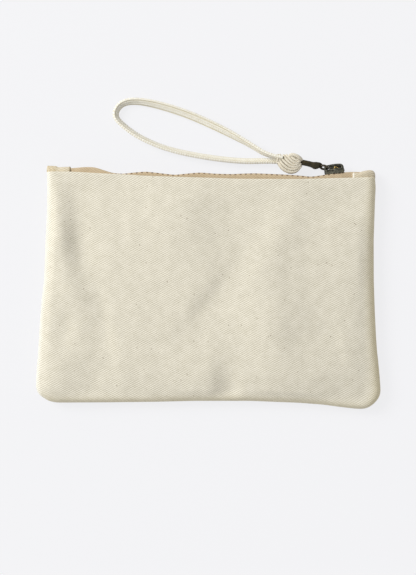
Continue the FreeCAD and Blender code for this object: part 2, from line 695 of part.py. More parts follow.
place(pull_tab, tab_along, tab_up, "places.chain_level", LINK_TURN)
doc.recompute()

# ---------------------------------------------------------------- knot
# a plain rounded solid with a pocket for the tab's blade and a plug of cord through its eye
tilt = radians(size("pull_tilt"))
tab_hinge = pull_tab.Placement.Base
tab_heading = Vector(-cos(tilt), sin(tilt), 0)
eye_centre = tab_hinge + tab_heading * size("eye_along")
long_half = size("knot_length") / 2
ellipse = Part.Ellipse(Vector(0, 0, 0), long_half, size("knot_width") / 2)
rim = Part.ArcOfEllipse(ellipse, 0, pi).toShape()
closing = Part.LineSegment(Vector(-long_half, 0, 0), Vector(long_half, 0, 0)).toShape()
knot_shape = Part.Face(Part.Wire([rim, closing])).revolve(Vector(0, 0, 0), Vector(1, 0, 0), 360)
knot_shape.translate(eye_centre - Vector(size("knot_shift"), 0, 0))
room = size("knot_play")
blade_half = size("tab_blade") / 2 + room
blade_wide = size("tab_width") / 2 + room
blade_corner = Vector(0, -blade_half, -blade_wide)
blade_room = Part.makeBox(size("tab_reach") + room, 2 * blade_half, 2 * blade_wide, blade_corner)
blade_room.Placement = pull_tab.Placement
plug_foot = Vector(size("eye_along"), -blade_half - 0.5, 0)
eye_plug = Part.makeCylinder(size("eye_diameter") / 2 - room, 2 * blade_half + 1, plug_foot, Vector(0, 1, 0))
eye_plug.Placement = pull_tab.Placement
cord_knot = free_shape("cord_knot", knot_shape.cut(blade_room).fuse(eye_plug).removeSplitter())

# ---------------------------------------------------------------- wrist cord
# the loop's middle line, out along the upper strand, round the far end and back
CORD_ROUTE = [
    (45.5, 83.8, 9.3),
    (36.5, 84.9, 8.9),
    (24.0, 92.6, 6.4),
    (6.0, 102.0, 3.8),
    (-18.0, 112.0, 2.9),
    (-44.0, 118.6, 2.9),
    (-57.5, 117.6, 2.9),
    (-62.6, 109.5, 2.9),
    (-55.5, 102.8, 2.9),
    (-44.0, 95.4, 2.8),
    (-27.0, 88.6, 2.8),
    (-4.0, 84.2, 2.8),
    (20.0, 81.8, 3.0),
    (36.0, 82.6, 3.2),
    (45.5, 82.3, 3.3),
]


def cord_path(route):
    """Straight runs joined by tangent arcs, each arc as large as its two runs allow."""
    points = [Vector(*p) for p in route]
    edges, radii = [], []
    start = points[0]
    for before, here, after in zip(points, points[1:], points[2:]):
        back = (before - here).normalize()
        ahead = (after - here).normalize()
        turn = pi - back.getAngle(ahead)
        run = min((before - here).Length, (after - here).Length)
        reach = 0.45 * run
        radius = reach / tan(turn / 2)
        middle = here + (back + ahead).normalize() * (radius / cos(turn / 2) - radius)
        edges.append(Part.LineSegment(start, here + back * reach).toShape())
        edges.append(Part.Arc(here + back * reach, middle, here + ahead * reach).toShape())
        start = here + ahead * reach
        radii.append((round(radius, 1), round(degrees(turn))))
    edges.append(Part.LineSegment(start, points[-1]).toShape())
    return Part.Wire(edges), radii


cord_line, cord_radii = cord_path(CORD_ROUTE)
cord_radius = size("cord_width") / 2
cord_start = Vector(*CORD_ROUTE[0])
cord_end = Part.Wire(Part.makeCircle(cord_radius, cord_start, Vector(*CORD_ROUTE[1]) - cord_start))
cord_tube = cord_line.makePipeShell([cord_end], True, False)
wrist_cord = free_shape("wrist_cord", cord_tube)
print("cord length", round(cord_line.Length, 1), "radii and turns", cord_radii)
print("cord volume", round(cord_tube.Volume, 1), "against", round(pi * cord_radius**2 * cord_line.Length, 1))

# ---------------------------------------------------------------- check and write
SUB_PARTS = [
    front_panel, back_panel, seam_binding, binding_thread, panel_seam_thread,
    left_zip_end_tab, right_zip_end_tab, front_zip_tape, back_zip_tape,
    front_zip_teeth, back_zip_teeth, top_stops, bottom_stop,
    front_zip_seam_thread, back_zip_seam_thread,
    slider_body, slider_crown, slider_lock_spring, pull_link, pull_tab, cord_knot, wrist_cord,
]
doc.recompute()
for item in doc.Objects:
    if "Invalid" in item.State or "Error" in item.State:
        raise RuntimeError("%s failed: %s" % (item.Label, item.State))
os.makedirs("parts", exist_ok=True)
for part in SUB_PARTS:
    if part.Shape.isNull() or not part.Shape.isValid():
        raise RuntimeError("%s has no valid shape" % part.Label)
for part in SUB_PARTS:
    part.Shape.exportStep("parts/%s.step" % part.Label)
    box = part.Shape.BoundBox
    print("%-24s solids %3d  x %7.2f %7.2f  y %7.2f %7.2f  z %6.2f %6.2f  volume %9.1f" % (
        part.Label, len(part.Shape.Solids), box.XMin, box.XMax, box.YMin, box.YMax, box.ZMin, box.ZMax,
        part.Shape.Volume))
hinge = pull_link.Placement.Base
print("link hinge", [round(c, 3) for c in hinge], "tab hinge", [round(c, 3) for c in tab_hinge])
stop_face = -size("tab_fold") + 1.5 * size("stop_length")
print("slider tail", round(size("tail"), 3), "bottom stop", round(stop_face, 3))
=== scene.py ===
import math

import bmesh
import bpy
import numpy as np
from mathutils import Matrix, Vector


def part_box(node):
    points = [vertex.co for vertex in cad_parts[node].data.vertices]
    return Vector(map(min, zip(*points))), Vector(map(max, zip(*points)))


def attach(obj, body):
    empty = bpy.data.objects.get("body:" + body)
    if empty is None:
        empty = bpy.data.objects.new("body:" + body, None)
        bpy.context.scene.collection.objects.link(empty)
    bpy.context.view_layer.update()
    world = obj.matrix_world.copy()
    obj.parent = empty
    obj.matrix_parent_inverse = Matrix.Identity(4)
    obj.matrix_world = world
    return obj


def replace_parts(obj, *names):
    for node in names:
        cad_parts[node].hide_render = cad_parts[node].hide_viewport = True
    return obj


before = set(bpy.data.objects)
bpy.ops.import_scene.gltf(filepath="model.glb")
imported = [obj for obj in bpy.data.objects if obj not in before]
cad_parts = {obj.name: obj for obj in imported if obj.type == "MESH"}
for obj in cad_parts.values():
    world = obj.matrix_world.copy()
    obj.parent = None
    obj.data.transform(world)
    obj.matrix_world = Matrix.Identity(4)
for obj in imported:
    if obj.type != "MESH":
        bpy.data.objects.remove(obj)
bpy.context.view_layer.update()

# ------------------------ front panel
# The upper wall of the bag: one piece of heavy unbleached cotton twill.  It is sewn to the back panel
# along three sides inside out and then turned, so its rim rolls down into the seam, and its mouth edge
# is folded in.  The seam allowances inside push up a low ridge beside the left edge.
MM = 0.001
SEAM_LEVEL = 5.0
CLOTH = 0.9
PANEL_SIZE = (211.0, 143.0)
GRID_STEP = 1.25
RIM_WIDTH = 5.5
RIM_STEPS = [0, 0.08, 0.3, 0.7, 1.2, 1.9, 2.7, 3.6, 4.6, 5.8, 7.0]
SEAM_STEP = 1.2
ROLL_RISE, CROWN_RISE, CROWN_REACH = 4.1, 4.6, 24
RIPPLE = {1: 0.11, -1: 0.07}
HEM_RADIUS = 0.95
HEM_INSET = 1.4
TUCK = 0.8
LINE_STEPS = 1201
LINE_SOFTNESS = 1.6
LEFT_SIDE = [
    (-101.9, -69.0), (-104.9, -67.0), (-106.9, -63.4), (-106.8, -55.2), (-105.9, -40.0), (-105.0, -20.0),
    (-104.0, -4.9), (-102.9, 5.1), (-102.6, 25.1), (-101.8, 50.2), (-102.0, 66.0), (-102.3, 72.9),
]
BOTTOM_SIDE = [
    (-101.9, -69.0), (-98.8, -70.9), (-93.5, -71.8), (-62.0, -71.1), (-31.3, -70.2), (-6.3, -69.2),
    (27.6, -68.6), (59.0, -69.3), (74.0, -70.2), (84.0, -71.4), (94.1, -72.4), (99.6, -72.4),
    (102.9, -71.0), (105.5, -68.8),
]
RIGHT_SIDE = [
    (105.5, -68.8), (108.3, -65.7), (109.6, -61.7), (108.7, -51.6), (107.6, -41.6), (106.9, -36.6),
    (106.0, -26.5), (105.0, -11.4), (104.0, 8.6), (103.5, 33.7), (103.9, 58.8), (104.2, 67.0), (103.6, 72.9),
]
MOUTH_SIDE = [
    (-102.3, 72.9), (-86.6, 73.0), (-78.4, 72.7), (-69.0, 72.3), (-50.2, 71.7), (-40.8, 71.2),
    (-18.9, 70.8), (6.2, 70.5), (18.7, 70.3), (56.4, 70.8), (87.7, 72.1), (103.6, 72.7),
]
# each fold: middle x, middle y, direction in degrees, reach along it, reach to its left and right, rise
FRONT_FOLDS = [
    (-94.0, 33.0, 97, 23, 11.0, 7.0, 3.6),
    (-80.0, 30.0, 99, 21, 5.0, 6.5, -1.7),
    (-92.0, 31.5, 97, 6, 4.0, 3.5, 0.8),
    (-79.5, 1.0, 100, 10, 7.0, 7.0, 1.2),
    (-64.5, -25.0, 101, 17, 8.0, 3.5, -1.5),
    (-80.0, -6.0, -42, 15, 3.5, 4.0, 0.9),
    (-88.5, -27.0, 80, 8, 5.0, 3.5, -0.9),
    (-98.5, -28.0, 91, 24, 5.0, 7.0, 1.1),
    (-71.0, -56.0, 85, 9, 9.0, 8.0, -1.5),
    (-17.0, 45.0, 95, 26, 22.0, 14.0, 3.0),
    (42.0, 31.0, 60, 18, 8.0, 9.0, 1.6),
    (40.5, -22.0, 91, 27, 14.0, 12.0, 3.4),
    (-5.0, 0.0, 53, 18, 12.0, 5.0, 0.9),
    (2.0, -6.0, 53, 18, 5.0, 8.0, -0.9),
    (0.0, -58.0, 88, 13, 15.0, 6.0, 1.6),
    (15.5, -63.0, 98, 11, 6.0, 4.5, -2.0),
    (80.0, 57.0, 80, 9, 13.0, 20.0, -1.7),
    (96.0, 24.0, 92, 24, 18.0, 6.0, 1.6),
    (86.5, -33.0, 100, 11, 3.0, 8.0, 0.7),
    (60.0, -56.0, 92, 12, 14.0, 18.0, 2.0),
    (98.0, -66.0, 0, 16, 13.0, 13.0, -1.4),
]


def spots(*parts):
    """Points from their X, Y and Z, each one number or an array."""
    return np.stack(np.broadcast_arrays(*parts), -1)


def smooth_line(points, count=LINE_STEPS):
    """A soft line through points: each even step takes the bell-weighted mean of its neighbours."""
    points = np.array(points, float)
    runs = np.r_[0, np.cumsum(np.linalg.norm(np.diff(points, axis=0), axis=1))]
    steps = np.linspace(0, runs[-1], LINE_STEPS)
    line = np.stack([np.interp(steps, runs, part) for part in points.T], 1)
    reach = max(1, int(3 * LINE_SOFTNESS / steps[1]))
    bell = np.exp(-0.5 * (np.arange(-reach, reach + 1) * steps[1] / LINE_SOFTNESS) ** 2)
    padded = np.r_[2 * line[0] - line[reach:0:-1], line, 2 * line[-1] - line[-2:-reach - 2:-1]]
    soft = np.stack([np.convolve(part, bell / bell.sum(), "valid") for part in padded.T], 1)
    soft[0], soft[-1] = line[0], line[-1]
    pick = np.linspace(0, LINE_STEPS - 1, count)
    return np.stack([np.interp(pick, np.arange(LINE_STEPS), part) for part in soft.T], 1)


def fine_ends(length, pitch, near, far):
    """Shares of length from 0 to 1: the near and far distances from each end, and even steps between."""
    near, far = np.array(near), length - np.array(far)[::-1]
    middle = np.linspace(near[-1], far[0], int((far[0] - near[-1]) / pitch) + 2)[1:-1]
    return np.r_[near, middle, far] / length


def fold_relief(x, y, folds):
    """Sum of long bell-shaped ridges, each with its own spread on its two sides."""
    relief = np.zeros_like(x)
    for middle_x, middle_y, direction, half, left, right, rise in folds:
        turn = math.radians(direction)
        along = (x - middle_x) * math.cos(turn) + (y - middle_y) * math.sin(turn)
        across = (y - middle_y) * math.cos(turn) - (x - middle_x) * math.sin(turn)
        spread = np.where(across > 0, left, right)
        relief += rise * np.exp(-0.5 * (along / half) ** 2 - 0.5 * (across / spread) ** 2)
    return relief


def cloth_ripple(x, y, seed, rise):
    """Sum of weak waves in seeded directions, 9 to 34 mm long: the uneven lie of handled cloth."""
    chance = np.random.default_rng(seed)
    ripple = np.zeros_like(x)
    for length, turn, shift in chance.uniform((9, 0, 0), (34, math.pi, 6.28), (26, 3)):
        wave = (x * math.cos(turn) + y * math.sin(turn)) * 2 * math.pi / length
        ripple += length / 20 * np.sin(wave + shift)
    return rise * ripple / 5


def placed(name, data):
    """Puts an object with this data into the scene."""
    made = bpy.data.objects.new(name, data)
    bpy.context.scene.collection.objects.link(made)
    return made


def grid_piece(name, points, flat=None, closed=False, material=None):
    """A surface over a grid of points in mm, with its two flat measures in cm kept as a UV map."""
    index = np.arange(points[..., 0].size).reshape(points.shape[:2])
    if closed:
        index = np.c_[index, index[:, :1]]

    def corners(grid):
        return np.stack([grid[:-1, :-1], grid[:-1, 1:], grid[1:, 1:], grid[1:, :-1]], 2)

    quads = corners(index).reshape(-1, 4)
    mesh = bpy.data.meshes.new(name)
    mesh.from_pydata((points.reshape(-1, 3) * MM).tolist(), [], quads.tolist())
    if flat is not None:
        if closed:
            flat = np.concatenate([flat, flat[:, :1]], 1)
            flat[:, -1, 0] = 2 * flat[:, -2, 0] - flat[:, -3, 0]
        mesh.uv_layers.new(name="lay").data.foreach_set("uv", corners(flat).reshape(-1) / 10)
    mesh.polygons.foreach_set("use_smooth", np.ones(len(quads), bool))
    mesh.update()
    if material:
        mesh.materials.append(material)
    return placed(name, mesh)


def thicken(piece, thickness):
    """Gives a surface its wall, on the side that its faces turn away from."""
    wall = piece.modifiers.new("wall", "SOLIDIFY")
    wall.thickness = thickness * MM
    wall.offset = -1
    wall.use_even_offset = False


def flat_lay(points):
    """Lengths along the rows and along the columns of a grid, measured on the surface from its middle."""
    across = np.linalg.norm(np.diff(points, axis=1), axis=2)
    along = np.linalg.norm(np.diff(points, axis=0), axis=2)
    u = np.c_[np.zeros(len(points)), np.cumsum(across, 1)]
    v = np.r_[np.zeros((1, points.shape[1])), np.cumsum(along, 0)]
    return np.stack([u - u.mean(1, keepdims=True), v - v.mean(0, keepdims=True)], -1)


def edge_gaps(x, y):
    """How far points lie inside the left, right and lower edge lines."""
    left, right, low = (smooth_line(line) for line in (LEFT_SIDE, RIGHT_SIDE, BOTTOM_SIDE))
    return (x - np.interp(y, left[:, 1], left[:, 0]), np.interp(y, right[:, 1], right[:, 0]) - x,
            y - np.interp(x, low[:, 0], low[:, 1]))


def panel_grid(side, seed):
    """Blends the four edge lines into a plan, lifts it by a quarter-round rim and a low crown, adds folds."""
    columns = fine_ends(PANEL_SIZE[0], GRID_STEP, RIM_STEPS, RIM_STEPS)
    rows = fine_ends(PANEL_SIZE[1], GRID_STEP, RIM_STEPS, [0, 1.8, 2.8, 4.0])

    def sample(line, where):
        return np.stack([
            np.interp(where, np.linspace(0, 1, LINE_STEPS), part) for part in smooth_line(line).T], -1)

    left, right, bottom, mouth = (sample(line, where) for line, where in (
        (LEFT_SIDE, rows), (RIGHT_SIDE, rows), (BOTTOM_SIDE, columns), (MOUTH_SIDE, columns)))
    u, v = columns[None, :, None], rows[:, None, None]
    plan = (1 - v) * bottom[None] + v * mouth[None] + (1 - u) * left[:, None] + u * right[:, None]
    plan -= (1 - u) * (1 - v) * bottom[0] + u * (1 - v) * bottom[-1]
    plan -= (1 - u) * v * mouth[0] + u * v * mouth[-1]
    x, y = plan[..., 0], plan[..., 1]
    inset = sum(
        np.maximum(pull * gap, 1e-4) ** -4 for pull, gap in zip((1.6, 1, 1.5), edge_gaps(x, y))) ** -0.25
    inset[:, 0] = inset[:, -1] = inset[0] = 0
    roll = np.sqrt(1 - (1 - np.minimum(inset / RIM_WIDTH, 1)) ** 2)
    settle = np.clip((inset - 2) / 8, 0, 1)
    toward_mouth = v[..., 0] ** 2 * np.ones_like(x)
    ripple = cloth_ripple(x, y, seed, RIPPLE[side])
    if side > 0:
        crown = (CROWN_RISE - 4.3 * toward_mouth) * (1 - np.exp(-inset / CROWN_REACH))
        held = 0.35 + 0.65 * np.clip((mouth[:, 1] - y) / 14, 0, 1)
        z = SEAM_LEVEL + SEAM_STEP + (ROLL_RISE + 1.6 * toward_mouth) * roll + crown
        z += settle * (held * fold_relief(x, y, FRONT_FOLDS) + ripple)
    else:
        rest = 0.12 + 0.10 * (1 + np.sin(x / 17 + 0.6) * np.cos(y / 23))
        z = SEAM_LEVEL - SEAM_STEP - (SEAM_LEVEL - SEAM_STEP - rest) * roll + settle * np.abs(ripple)
    surface = spots(x, y, z)
    edge_x, edge_y, edge_z = surface[-1].T
    turn_radius = np.minimum(HEM_RADIUS, 0.45 * np.abs(edge_z - SEAM_LEVEL))
    turns = np.radians(np.linspace(0, 180, 9))[:, None]
    hem = spots(edge_x, edge_y + turn_radius * (np.sin(turns) - 1),
                edge_z + side * turn_radius * (np.cos(turns) - 1))
    under = surface[[-3, -4, -6, -8]].copy()
    under[..., 2] -= 2 * side * turn_radius
    hem[..., 0] -= HEM_INSET * (hem[..., 0] / 102) ** 7 * np.sin(turns / 2) ** 2
    under[..., 0] -= HEM_INSET * (under[..., 0] / 102) ** 7
    surface = np.concatenate([surface[:-1], hem, under])
    surface, flat = (np.pad(grid, ((1, 0), (1, 1), (0, 0)), "edge") for grid in (surface, flat_lay(surface)))
    for column, inward in ((0, TUCK), (-1, -TUCK)):
        surface[1:, column, 0] += inward
        surface[0, column, 0] += 0.6 * inward
    surface[0, :, 1] += TUCK
    surface[:, 0, 2] = surface[:, -1, 2] = surface[0, :, 2] = SEAM_LEVEL + side * 0.03
    return surface, flat


def feed(socket, value):
    """Links a shade into an input, or sets the input's own value."""
    if isinstance(value, Shade):
        socket.id_data.links.new(value.socket, socket)
    else:
        socket.default_value = value


def new_node(tree, kind, inputs=None, **settings):
    """Adds a shader node, sets it up, and feeds its inputs by name or number."""
    made = tree.nodes.new("ShaderNode" + kind)
    for key, value in settings.items():
        setattr(made, key, value)
    for key, value in (inputs or {}).items():
        feed(made.inputs[key], value)
    return made


class Shade:
    """A number, colour or place that varies over a surface; arithmetic on it adds Math nodes to its tree."""

    def __init__(self, socket):
        self.socket = socket

    def node(self, kind, inputs, output=0, **settings):
        return Shade(new_node(self.socket.id_data, kind, inputs, **settings).outputs[output])

    def math(self, operation, *others):
        return self.node("Math", dict(enumerate((self, *others))), operation=operation)

    def __add__(self, other):
        return self.math("ADD", other)

    def __sub__(self, other):
        return self.math("SUBTRACT", other)

    def __mul__(self, other):
        return self.math("MULTIPLY", other)

    def __truediv__(self, other):
        return self.math("DIVIDE", other)

    def wave(self):
        """Up to 1 and down to 0 once for each whole number."""
        return (self * (2 * math.pi)).math("SINE") * 0.5 + 0.5

    def mix(self, low, high):
        """The low colour where this is 0, the high one where it is 1."""
        return self.node("Mix", {0: self, 6: low, 7: high}, 2, data_type="RGBA")

    def ramp(self, low, high, start=0.0, end=1.0):
        """Goes evenly from start to end while this goes from low to high."""
        return self.node("MapRange", {
            "Value": self, "From Min": low, "From Max": high, "To Min": start, "To Max": end})

    def noise(self, scale, detail, rough):
        """Smooth chance over this place."""
        return self.node("TexNoise", {"Vector": self, "Scale": scale, "Detail": detail, "Roughness": rough})

    def stretched(self, *scale):
        """This place with each axis scaled."""
        return self.node("Mapping", {"Vector": self, "Scale": scale})

    def axes(self):
        """The three parts of this place."""
        return [Shade(part) for part in new_node(self.socket.id_data, "SeparateXYZ", {0: self}).outputs]


def finish_group(name, colours, **numbers):
    """A shader node group still to be filled: place, colours and numbers in; colour, height, roughness out."""
    group = bpy.data.node_groups.new(name, "ShaderNodeTree")
    kinds = [("Place", "Vector")] + [(label, "Color") for label in colours] + [
        (label, "Float") for label in numbers]
    for label, kind in kinds:
        socket = group.interface.new_socket(label, in_out="INPUT", socket_type="NodeSocket" + kind)
        if label in numbers:
            socket.default_value = numbers[label]
    for label, kind in (("Color", "Color"), ("Height", "Float"), ("Roughness", "Float")):
        group.interface.new_socket(label, in_out="OUTPUT", socket_type="NodeSocket" + kind)
    given = [Shade(socket) for socket in group.nodes.new("NodeGroupInput").outputs if socket.name]
    return group, group.nodes.new("NodeGroupOutput").inputs, given


def colour(red, green, blue):
    """A colour written in 0 to 255 display numbers, as linear light."""
    share = np.array([red, green, blue]) / 255
    linear = np.where(share <= 0.04045, share / 12.92, ((share + 0.055) / 1.055) ** 2.4)
    return (*linear.tolist(), 1.0)


# twill: slanted wales made of short raised floats, uneven yarn, and a few dark bits of seed in the cotton
twill, out, (place, light, groove, seed, wales) = finish_group("twill", ("Light", "Groove", "Seed"), Wales=8.4)
part_x, part_y, _ = place.axes()
drift = place.noise(1.6, 3.0, 0.6)


def slanted_lines(degrees, lines_per_cm):
    """Waves from 0 to 1 whose crests run at an angle over the cloth, bent a little by the drift."""
    turn = math.radians(degrees)
    return ((part_x * -math.sin(turn) + part_y * math.cos(turn)) * lines_per_cm + drift * 0.6).wave()


yarn = (part_x * 19.0 + drift * 0.9).wave()
slub = place.stretched(34, 5, 1).noise(1.0, 2.0, 0.6)
pick = place.stretched(4, 30, 1).noise(1.0, 2.0, 0.6)
fuzz = place.noise(46.0, 2.0, 0.7)
crossing = slanted_lines(30.4, wales) * 0.71 + slanted_lines(-27.3, wales * 0.97) * 0.29
raised = crossing * (yarn * 0.15 + 0.85)
uneven = slub * 0.5 + pick * 0.5
tone = raised * 0.9 + uneven * 0.75 + drift * 0.42 - 0.43
specks = new_node(twill, "TexVoronoi", {"Vector": place.stretched(1.0, 0.8, 1.0), "Scale": 2.3}).outputs
chosen = Shade(specks["Color"]).axes()[0].math("GREATER_THAN", 0.6)
speck = Shade(specks["Distance"]).ramp(0.02, 0.11, 1.0, 0.0) * chosen * (slub * 1.5 - 0.1)
feed(out["Color"], speck.mix(tone.mix(groove, light), seed))
feed(out["Height"], raised * 0.8 + fuzz * 0.25 + uneven)
feed(out["Roughness"], fuzz * 0.15 + 0.8)


def finish(name, group, values, bump, depth, own, lay):
    """A Principled material: colour, roughness and bump from a group, its other inputs from own."""
    made = bpy.data.materials.new(name)
    made.use_nodes = True
    tree = made.node_tree
    where = Shade(new_node(tree, "TexCoord").outputs[lay])
    if lay == "Object":
        where = where.stretched(100, 100, 100)
    values = {label: colour(*value) if isinstance(value, tuple) else value for label, value in values.items()}
    skin = new_node(tree, "Group", {"Place": where, **values}, node_tree=group).outputs
    relief = new_node(tree, "Bump", {"Strength": bump, "Distance": depth * MM, "Height": Shade(skin["Height"])})
    own = {**own, "Base Color": Shade(skin["Color"]), "Roughness": Shade(skin["Roughness"]),
           "Normal": Shade(relief.outputs[0])}
    for label, value in own.items():
        feed(tree.nodes["Principled BSDF"].inputs[label], value)
    return made


def cloth_material(name, group, values, bump, depth, sheen=0.1, lay="UV"):
    """A matt cloth with a slight sheen, its weave as high as depth in mm."""
    own = {"Specular IOR Level": 0.2, "Sheen Weight": sheen, "Sheen Roughness": 0.6}
    return finish(name, group, values, bump, depth, own, lay)


def mask_tint(made, mask, tint, share=1.0):
    """Mixes a tint into a cloth's base colour by share of a mask kept on the piece's points; it lays painted
    light and shade on the canvas rims, the tape and the right tab, and a tan tint on the left tab.
    """
    skin = made.node_tree.nodes["Principled BSDF"].inputs["Base Color"]
    amount = Shade(new_node(made.node_tree, "Attribute", attribute_name=mask).outputs["Fac"]) * share
    feed(skin, amount.mix(Shade(skin.links[0].from_socket), colour(*tint)))


def keep_mask(piece, mask, values):
    """Keeps one number from 0 to 1 for each grid point of a piece."""
    piece.data.attributes.new(mask, "FLOAT", "POINT").data.foreach_set("value", values.reshape(-1))


def mark_rim(piece, points):
    """Bell-shaped masks along the edges: painted light on the left rim, which faces the lamp, and a warm
    painted shade on the right and lower rims, which turn away from it.
    """
    from_left, from_right, from_bottom = edge_gaps(points[..., 0], points[..., 1])
    right_rim = (0.44 - 0.1 * np.clip(points[..., 1] / 60, 0, 1)) * np.exp(-(from_right / 4.5) ** 2)
    keep_mask(piece, "painted_rim_light", 0.28 * np.exp(-(from_left / 2.0) ** 2))
    keep_mask(piece, "painted_rim_shade", np.maximum(right_rim, 0.25 * np.exp(-(from_bottom / 3.0) ** 2)))


canvas = cloth_material("canvas", twill, {
    "Light": (249, 243, 226), "Groove": (180, 173, 149), "Seed": (104, 82, 58)}, 0.55, 0.16)
# painted shade: a warm olive tint on the right and lower rims, where they turn away from the lamp
mask_tint(canvas, "painted_rim_shade", (216, 198, 136))
# painted light: a near-white tint on the left rim, which faces the lamp
mask_tint(canvas, "painted_rim_light", (250, 253, 250))
points, flat = panel_grid(1, 11)
front = grid_piece("front_canvas", points, flat, material=canvas)
mark_rim(front, points)
thicken(front, CLOTH)
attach(front, "pouch")
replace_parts(front, "front_panel")

# ------------------------ back panel
# The lower wall of the bag, cut from the same twill as the front and rolled up into the same seam.  It
# lies on the table, so it is flat but for a few shallow ripples.
points, flat = panel_grid(-1, 23)
back = grid_piece("back_canvas", points[:, ::-1], flat[:, ::-1], material=canvas)
mark_rim(back, points[:, ::-1])
thicken(back, CLOTH)
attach(back, "pouch")
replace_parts(back, "back_panel")

# ------------------------ seam stitching and binding
# The two panels are joined by one row of lockstitch just inside the turned edge, and the raw allowances
# behind it are wrapped in a cotton binding tape with its own row.  All of it lies inside the bag.
SEAM_INSET = 2.4
STITCH_PITCH = 3.0
STITCH_RING = np.radians(np.arange(0, 360, 60))
# along, and thickness, of each ring of one stitch, as shares of its half length and half width
STITCH_BODY = np.array([(-1.0, 0.35), (-0.8, 0.8), (0.0, 1.0), (0.8, 0.8), (1.0, 0.35)])


def even_steps(line, pitch, closed=False):
    """The same line with its points a pitch apart."""
    if closed:
        line = np.r_[line, line[:1]]
    runs = np.r_[0, np.cumsum(np.linalg.norm(np.diff(line, axis=0), axis=1))]
    where = np.linspace(0, runs[-1], int(runs[-1] / pitch) + 1)
    if closed:
        where = where[:-1]
    return np.stack([np.interp(where, runs, part) for part in line.T], 1), where


def unit(vectors):
    """Each vector at length one."""
    return vectors / np.maximum(np.linalg.norm(vectors, axis=-1, keepdims=True), 1e-9)


def heading(line, closed=False):
    """The direction of a line at each of its points."""
    if closed:
        return unit(np.roll(line, -1, 0) - np.roll(line, 1, 0))
    return unit(np.gradient(line, axis=0))


def repeated(name, shape, faces, places, along, across, material):
    """One small shape set down at many places, each turned so that its X runs along and its Y across."""
    turned = np.stack([along, across, np.cross(along, across)], 1)
    spots = places[:, None] + shape @ turned
    linked = [[corner + len(shape) * copy for corner in face] for copy in range(len(places)) for face in faces]
    mesh = bpy.data.meshes.new(name)
    mesh.from_pydata((spots.reshape(-1, 3) * MM).tolist(), [], linked)
    mesh.update()
    mesh.materials.append(material)
    return placed(name, mesh)


def tube_faces(rings, sides):
    """Faces of a tube of rings, closed by one face at each end."""
    index = np.arange(rings * sides).reshape(rings, sides)
    nearby = np.roll(index, -1, 1)
    walls = np.stack([index[:-1], nearby[:-1], nearby[1:], index[1:]], -1).reshape(-1, 4).tolist()
    return walls + [index[0][::-1].tolist(), index[-1].tolist()]


def stitch_shape(length, width, height):
    """A grain-shaped stitch: six-sided rings that swell to the middle."""
    ring = np.stack([np.zeros(6), width / 2 * np.cos(STITCH_RING), height / 2 * np.sin(STITCH_RING)], -1)
    shape = STITCH_BODY[:, 1][:, None, None] * ring[None]
    shape[..., 0] = STITCH_BODY[:, 0][:, None] * length / 2
    return shape.reshape(-1, 3), tube_faces(5, 6)


# thread: two plies that wind round each other, with a little fluff
thread_twist, out, (place, light, groove) = finish_group("thread_twist", ("Light", "Groove"))
part_x, part_y, part_z = place.axes()
ply = ((part_x + part_y + part_z) * 120.0).math("SINE") * 0.5 + 0.5
fluff = place.noise(60.0, 3.0, 0.7)
feed(out["Color"], (fluff * 0.5 + ply * 0.5).mix(groove, light))
feed(out["Height"], fluff * 0.3 + ply)
feed(out["Roughness"], fluff * 0.2 + 0.6)
thread = cloth_material("thread", thread_twist, {
    "Light": (238, 233, 216), "Groove": (196, 187, 160)}, 0.4, 0.05, lay="Object")
binding_cloth = cloth_material("binding_cloth", twill, {
    "Wales": 16.0, "Light": (232, 226, 206), "Groove": (204, 196, 172), "Seed": (190, 180, 150)},
    0.3, 0.08, 0.2, "Object")

seam = np.concatenate([
    smooth_line(LEFT_SIDE, 400)[:0:-1], smooth_line(BOTTOM_SIDE, 500)[:-1], smooth_line(RIGHT_SIDE, 400)])
seam += SEAM_INSET * unit(np.stack([-np.gradient(seam[:, 1]), np.gradient(seam[:, 0])], -1))
seam_row = even_steps(np.c_[seam, np.full(len(seam), SEAM_LEVEL + 0.6)], STITCH_PITCH)[0][3:-3]
ahead = heading(seam_row)
sideways = unit(np.cross((0, 0, 1), ahead))
seam_thread = repeated("panel_seam_stitches", *stitch_shape(2.4, 0.5, 0.4), seam_row, ahead, sideways, thread)
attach(seam_thread, "pouch")
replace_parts(seam_thread, "panel_seam_thread")
inside = dict.fromkeys(("binding_thread", "front_zip_seam_thread", "back_zip_seam_thread"), thread)
for name, material in {"seam_binding": binding_cloth, **inside}.items():
    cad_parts[name].data.materials.clear()
    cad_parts[name].data.materials.append(material)

# ------------------------ zip tapes
# Two woven cotton tapes dyed a sandy tan, sewn under the folded mouth edges.  Each comes out from under
# the canvas, turns down over the mouth and ends in a corded bead that the teeth grip.  The closed zip
# lies in shallow waves, so the strip that shows is wide in places and hidden in others.
CHAIN_LEVEL = 6.5
CHAIN_LEAN = math.radians(12)
TAPE_THICK = 0.6
TAPE_HALF = 96.8
# the highest line of the tape where it turns down, along the mouth
TAPE_CREST = [
    (-98.0, 74.6), (-86.6, 74.9), (-78.4, 75.8), (-72.2, 75.8), (-67.8, 74.4), (-60.9, 72.3), (-54.6, 71.9),
    (-47.1, 72.9), (-40.2, 73.6), (-31.0, 72.7), (-22.0, 71.8), (-14.0, 72.8), (-6.3, 73.6), (3.0, 73.0),
    (13.7, 72.9), (21.0, 73.4), (28.2, 73.7), (40.7, 73.4), (50.2, 73.1), (57.0, 72.7), (63.3, 72.1),
    (70.2, 73.2),
    (78.0, 74.6), (85.0, 75.4), (89.0, 75.7), (98.0, 75.6),
]
crest_line = smooth_line(TAPE_CREST, 801)
SIDES = (("front", 1), ("back", -1))


def crest(x):
    """Height of the tape's highest line above the middle of the bag."""
    return np.interp(x, crest_line[:, 0], crest_line[:, 1])


def chain_spot(x, out, outward):
    """A point of the zip chain: out is along its face, from the middle to the front tape, outward its depth."""
    return spots(x, crest(x) - 0.65 + outward * math.cos(CHAIN_LEAN) + out * math.sin(CHAIN_LEAN),
                 CHAIN_LEVEL - outward * math.sin(CHAIN_LEAN) + out * math.cos(CHAIN_LEAN))


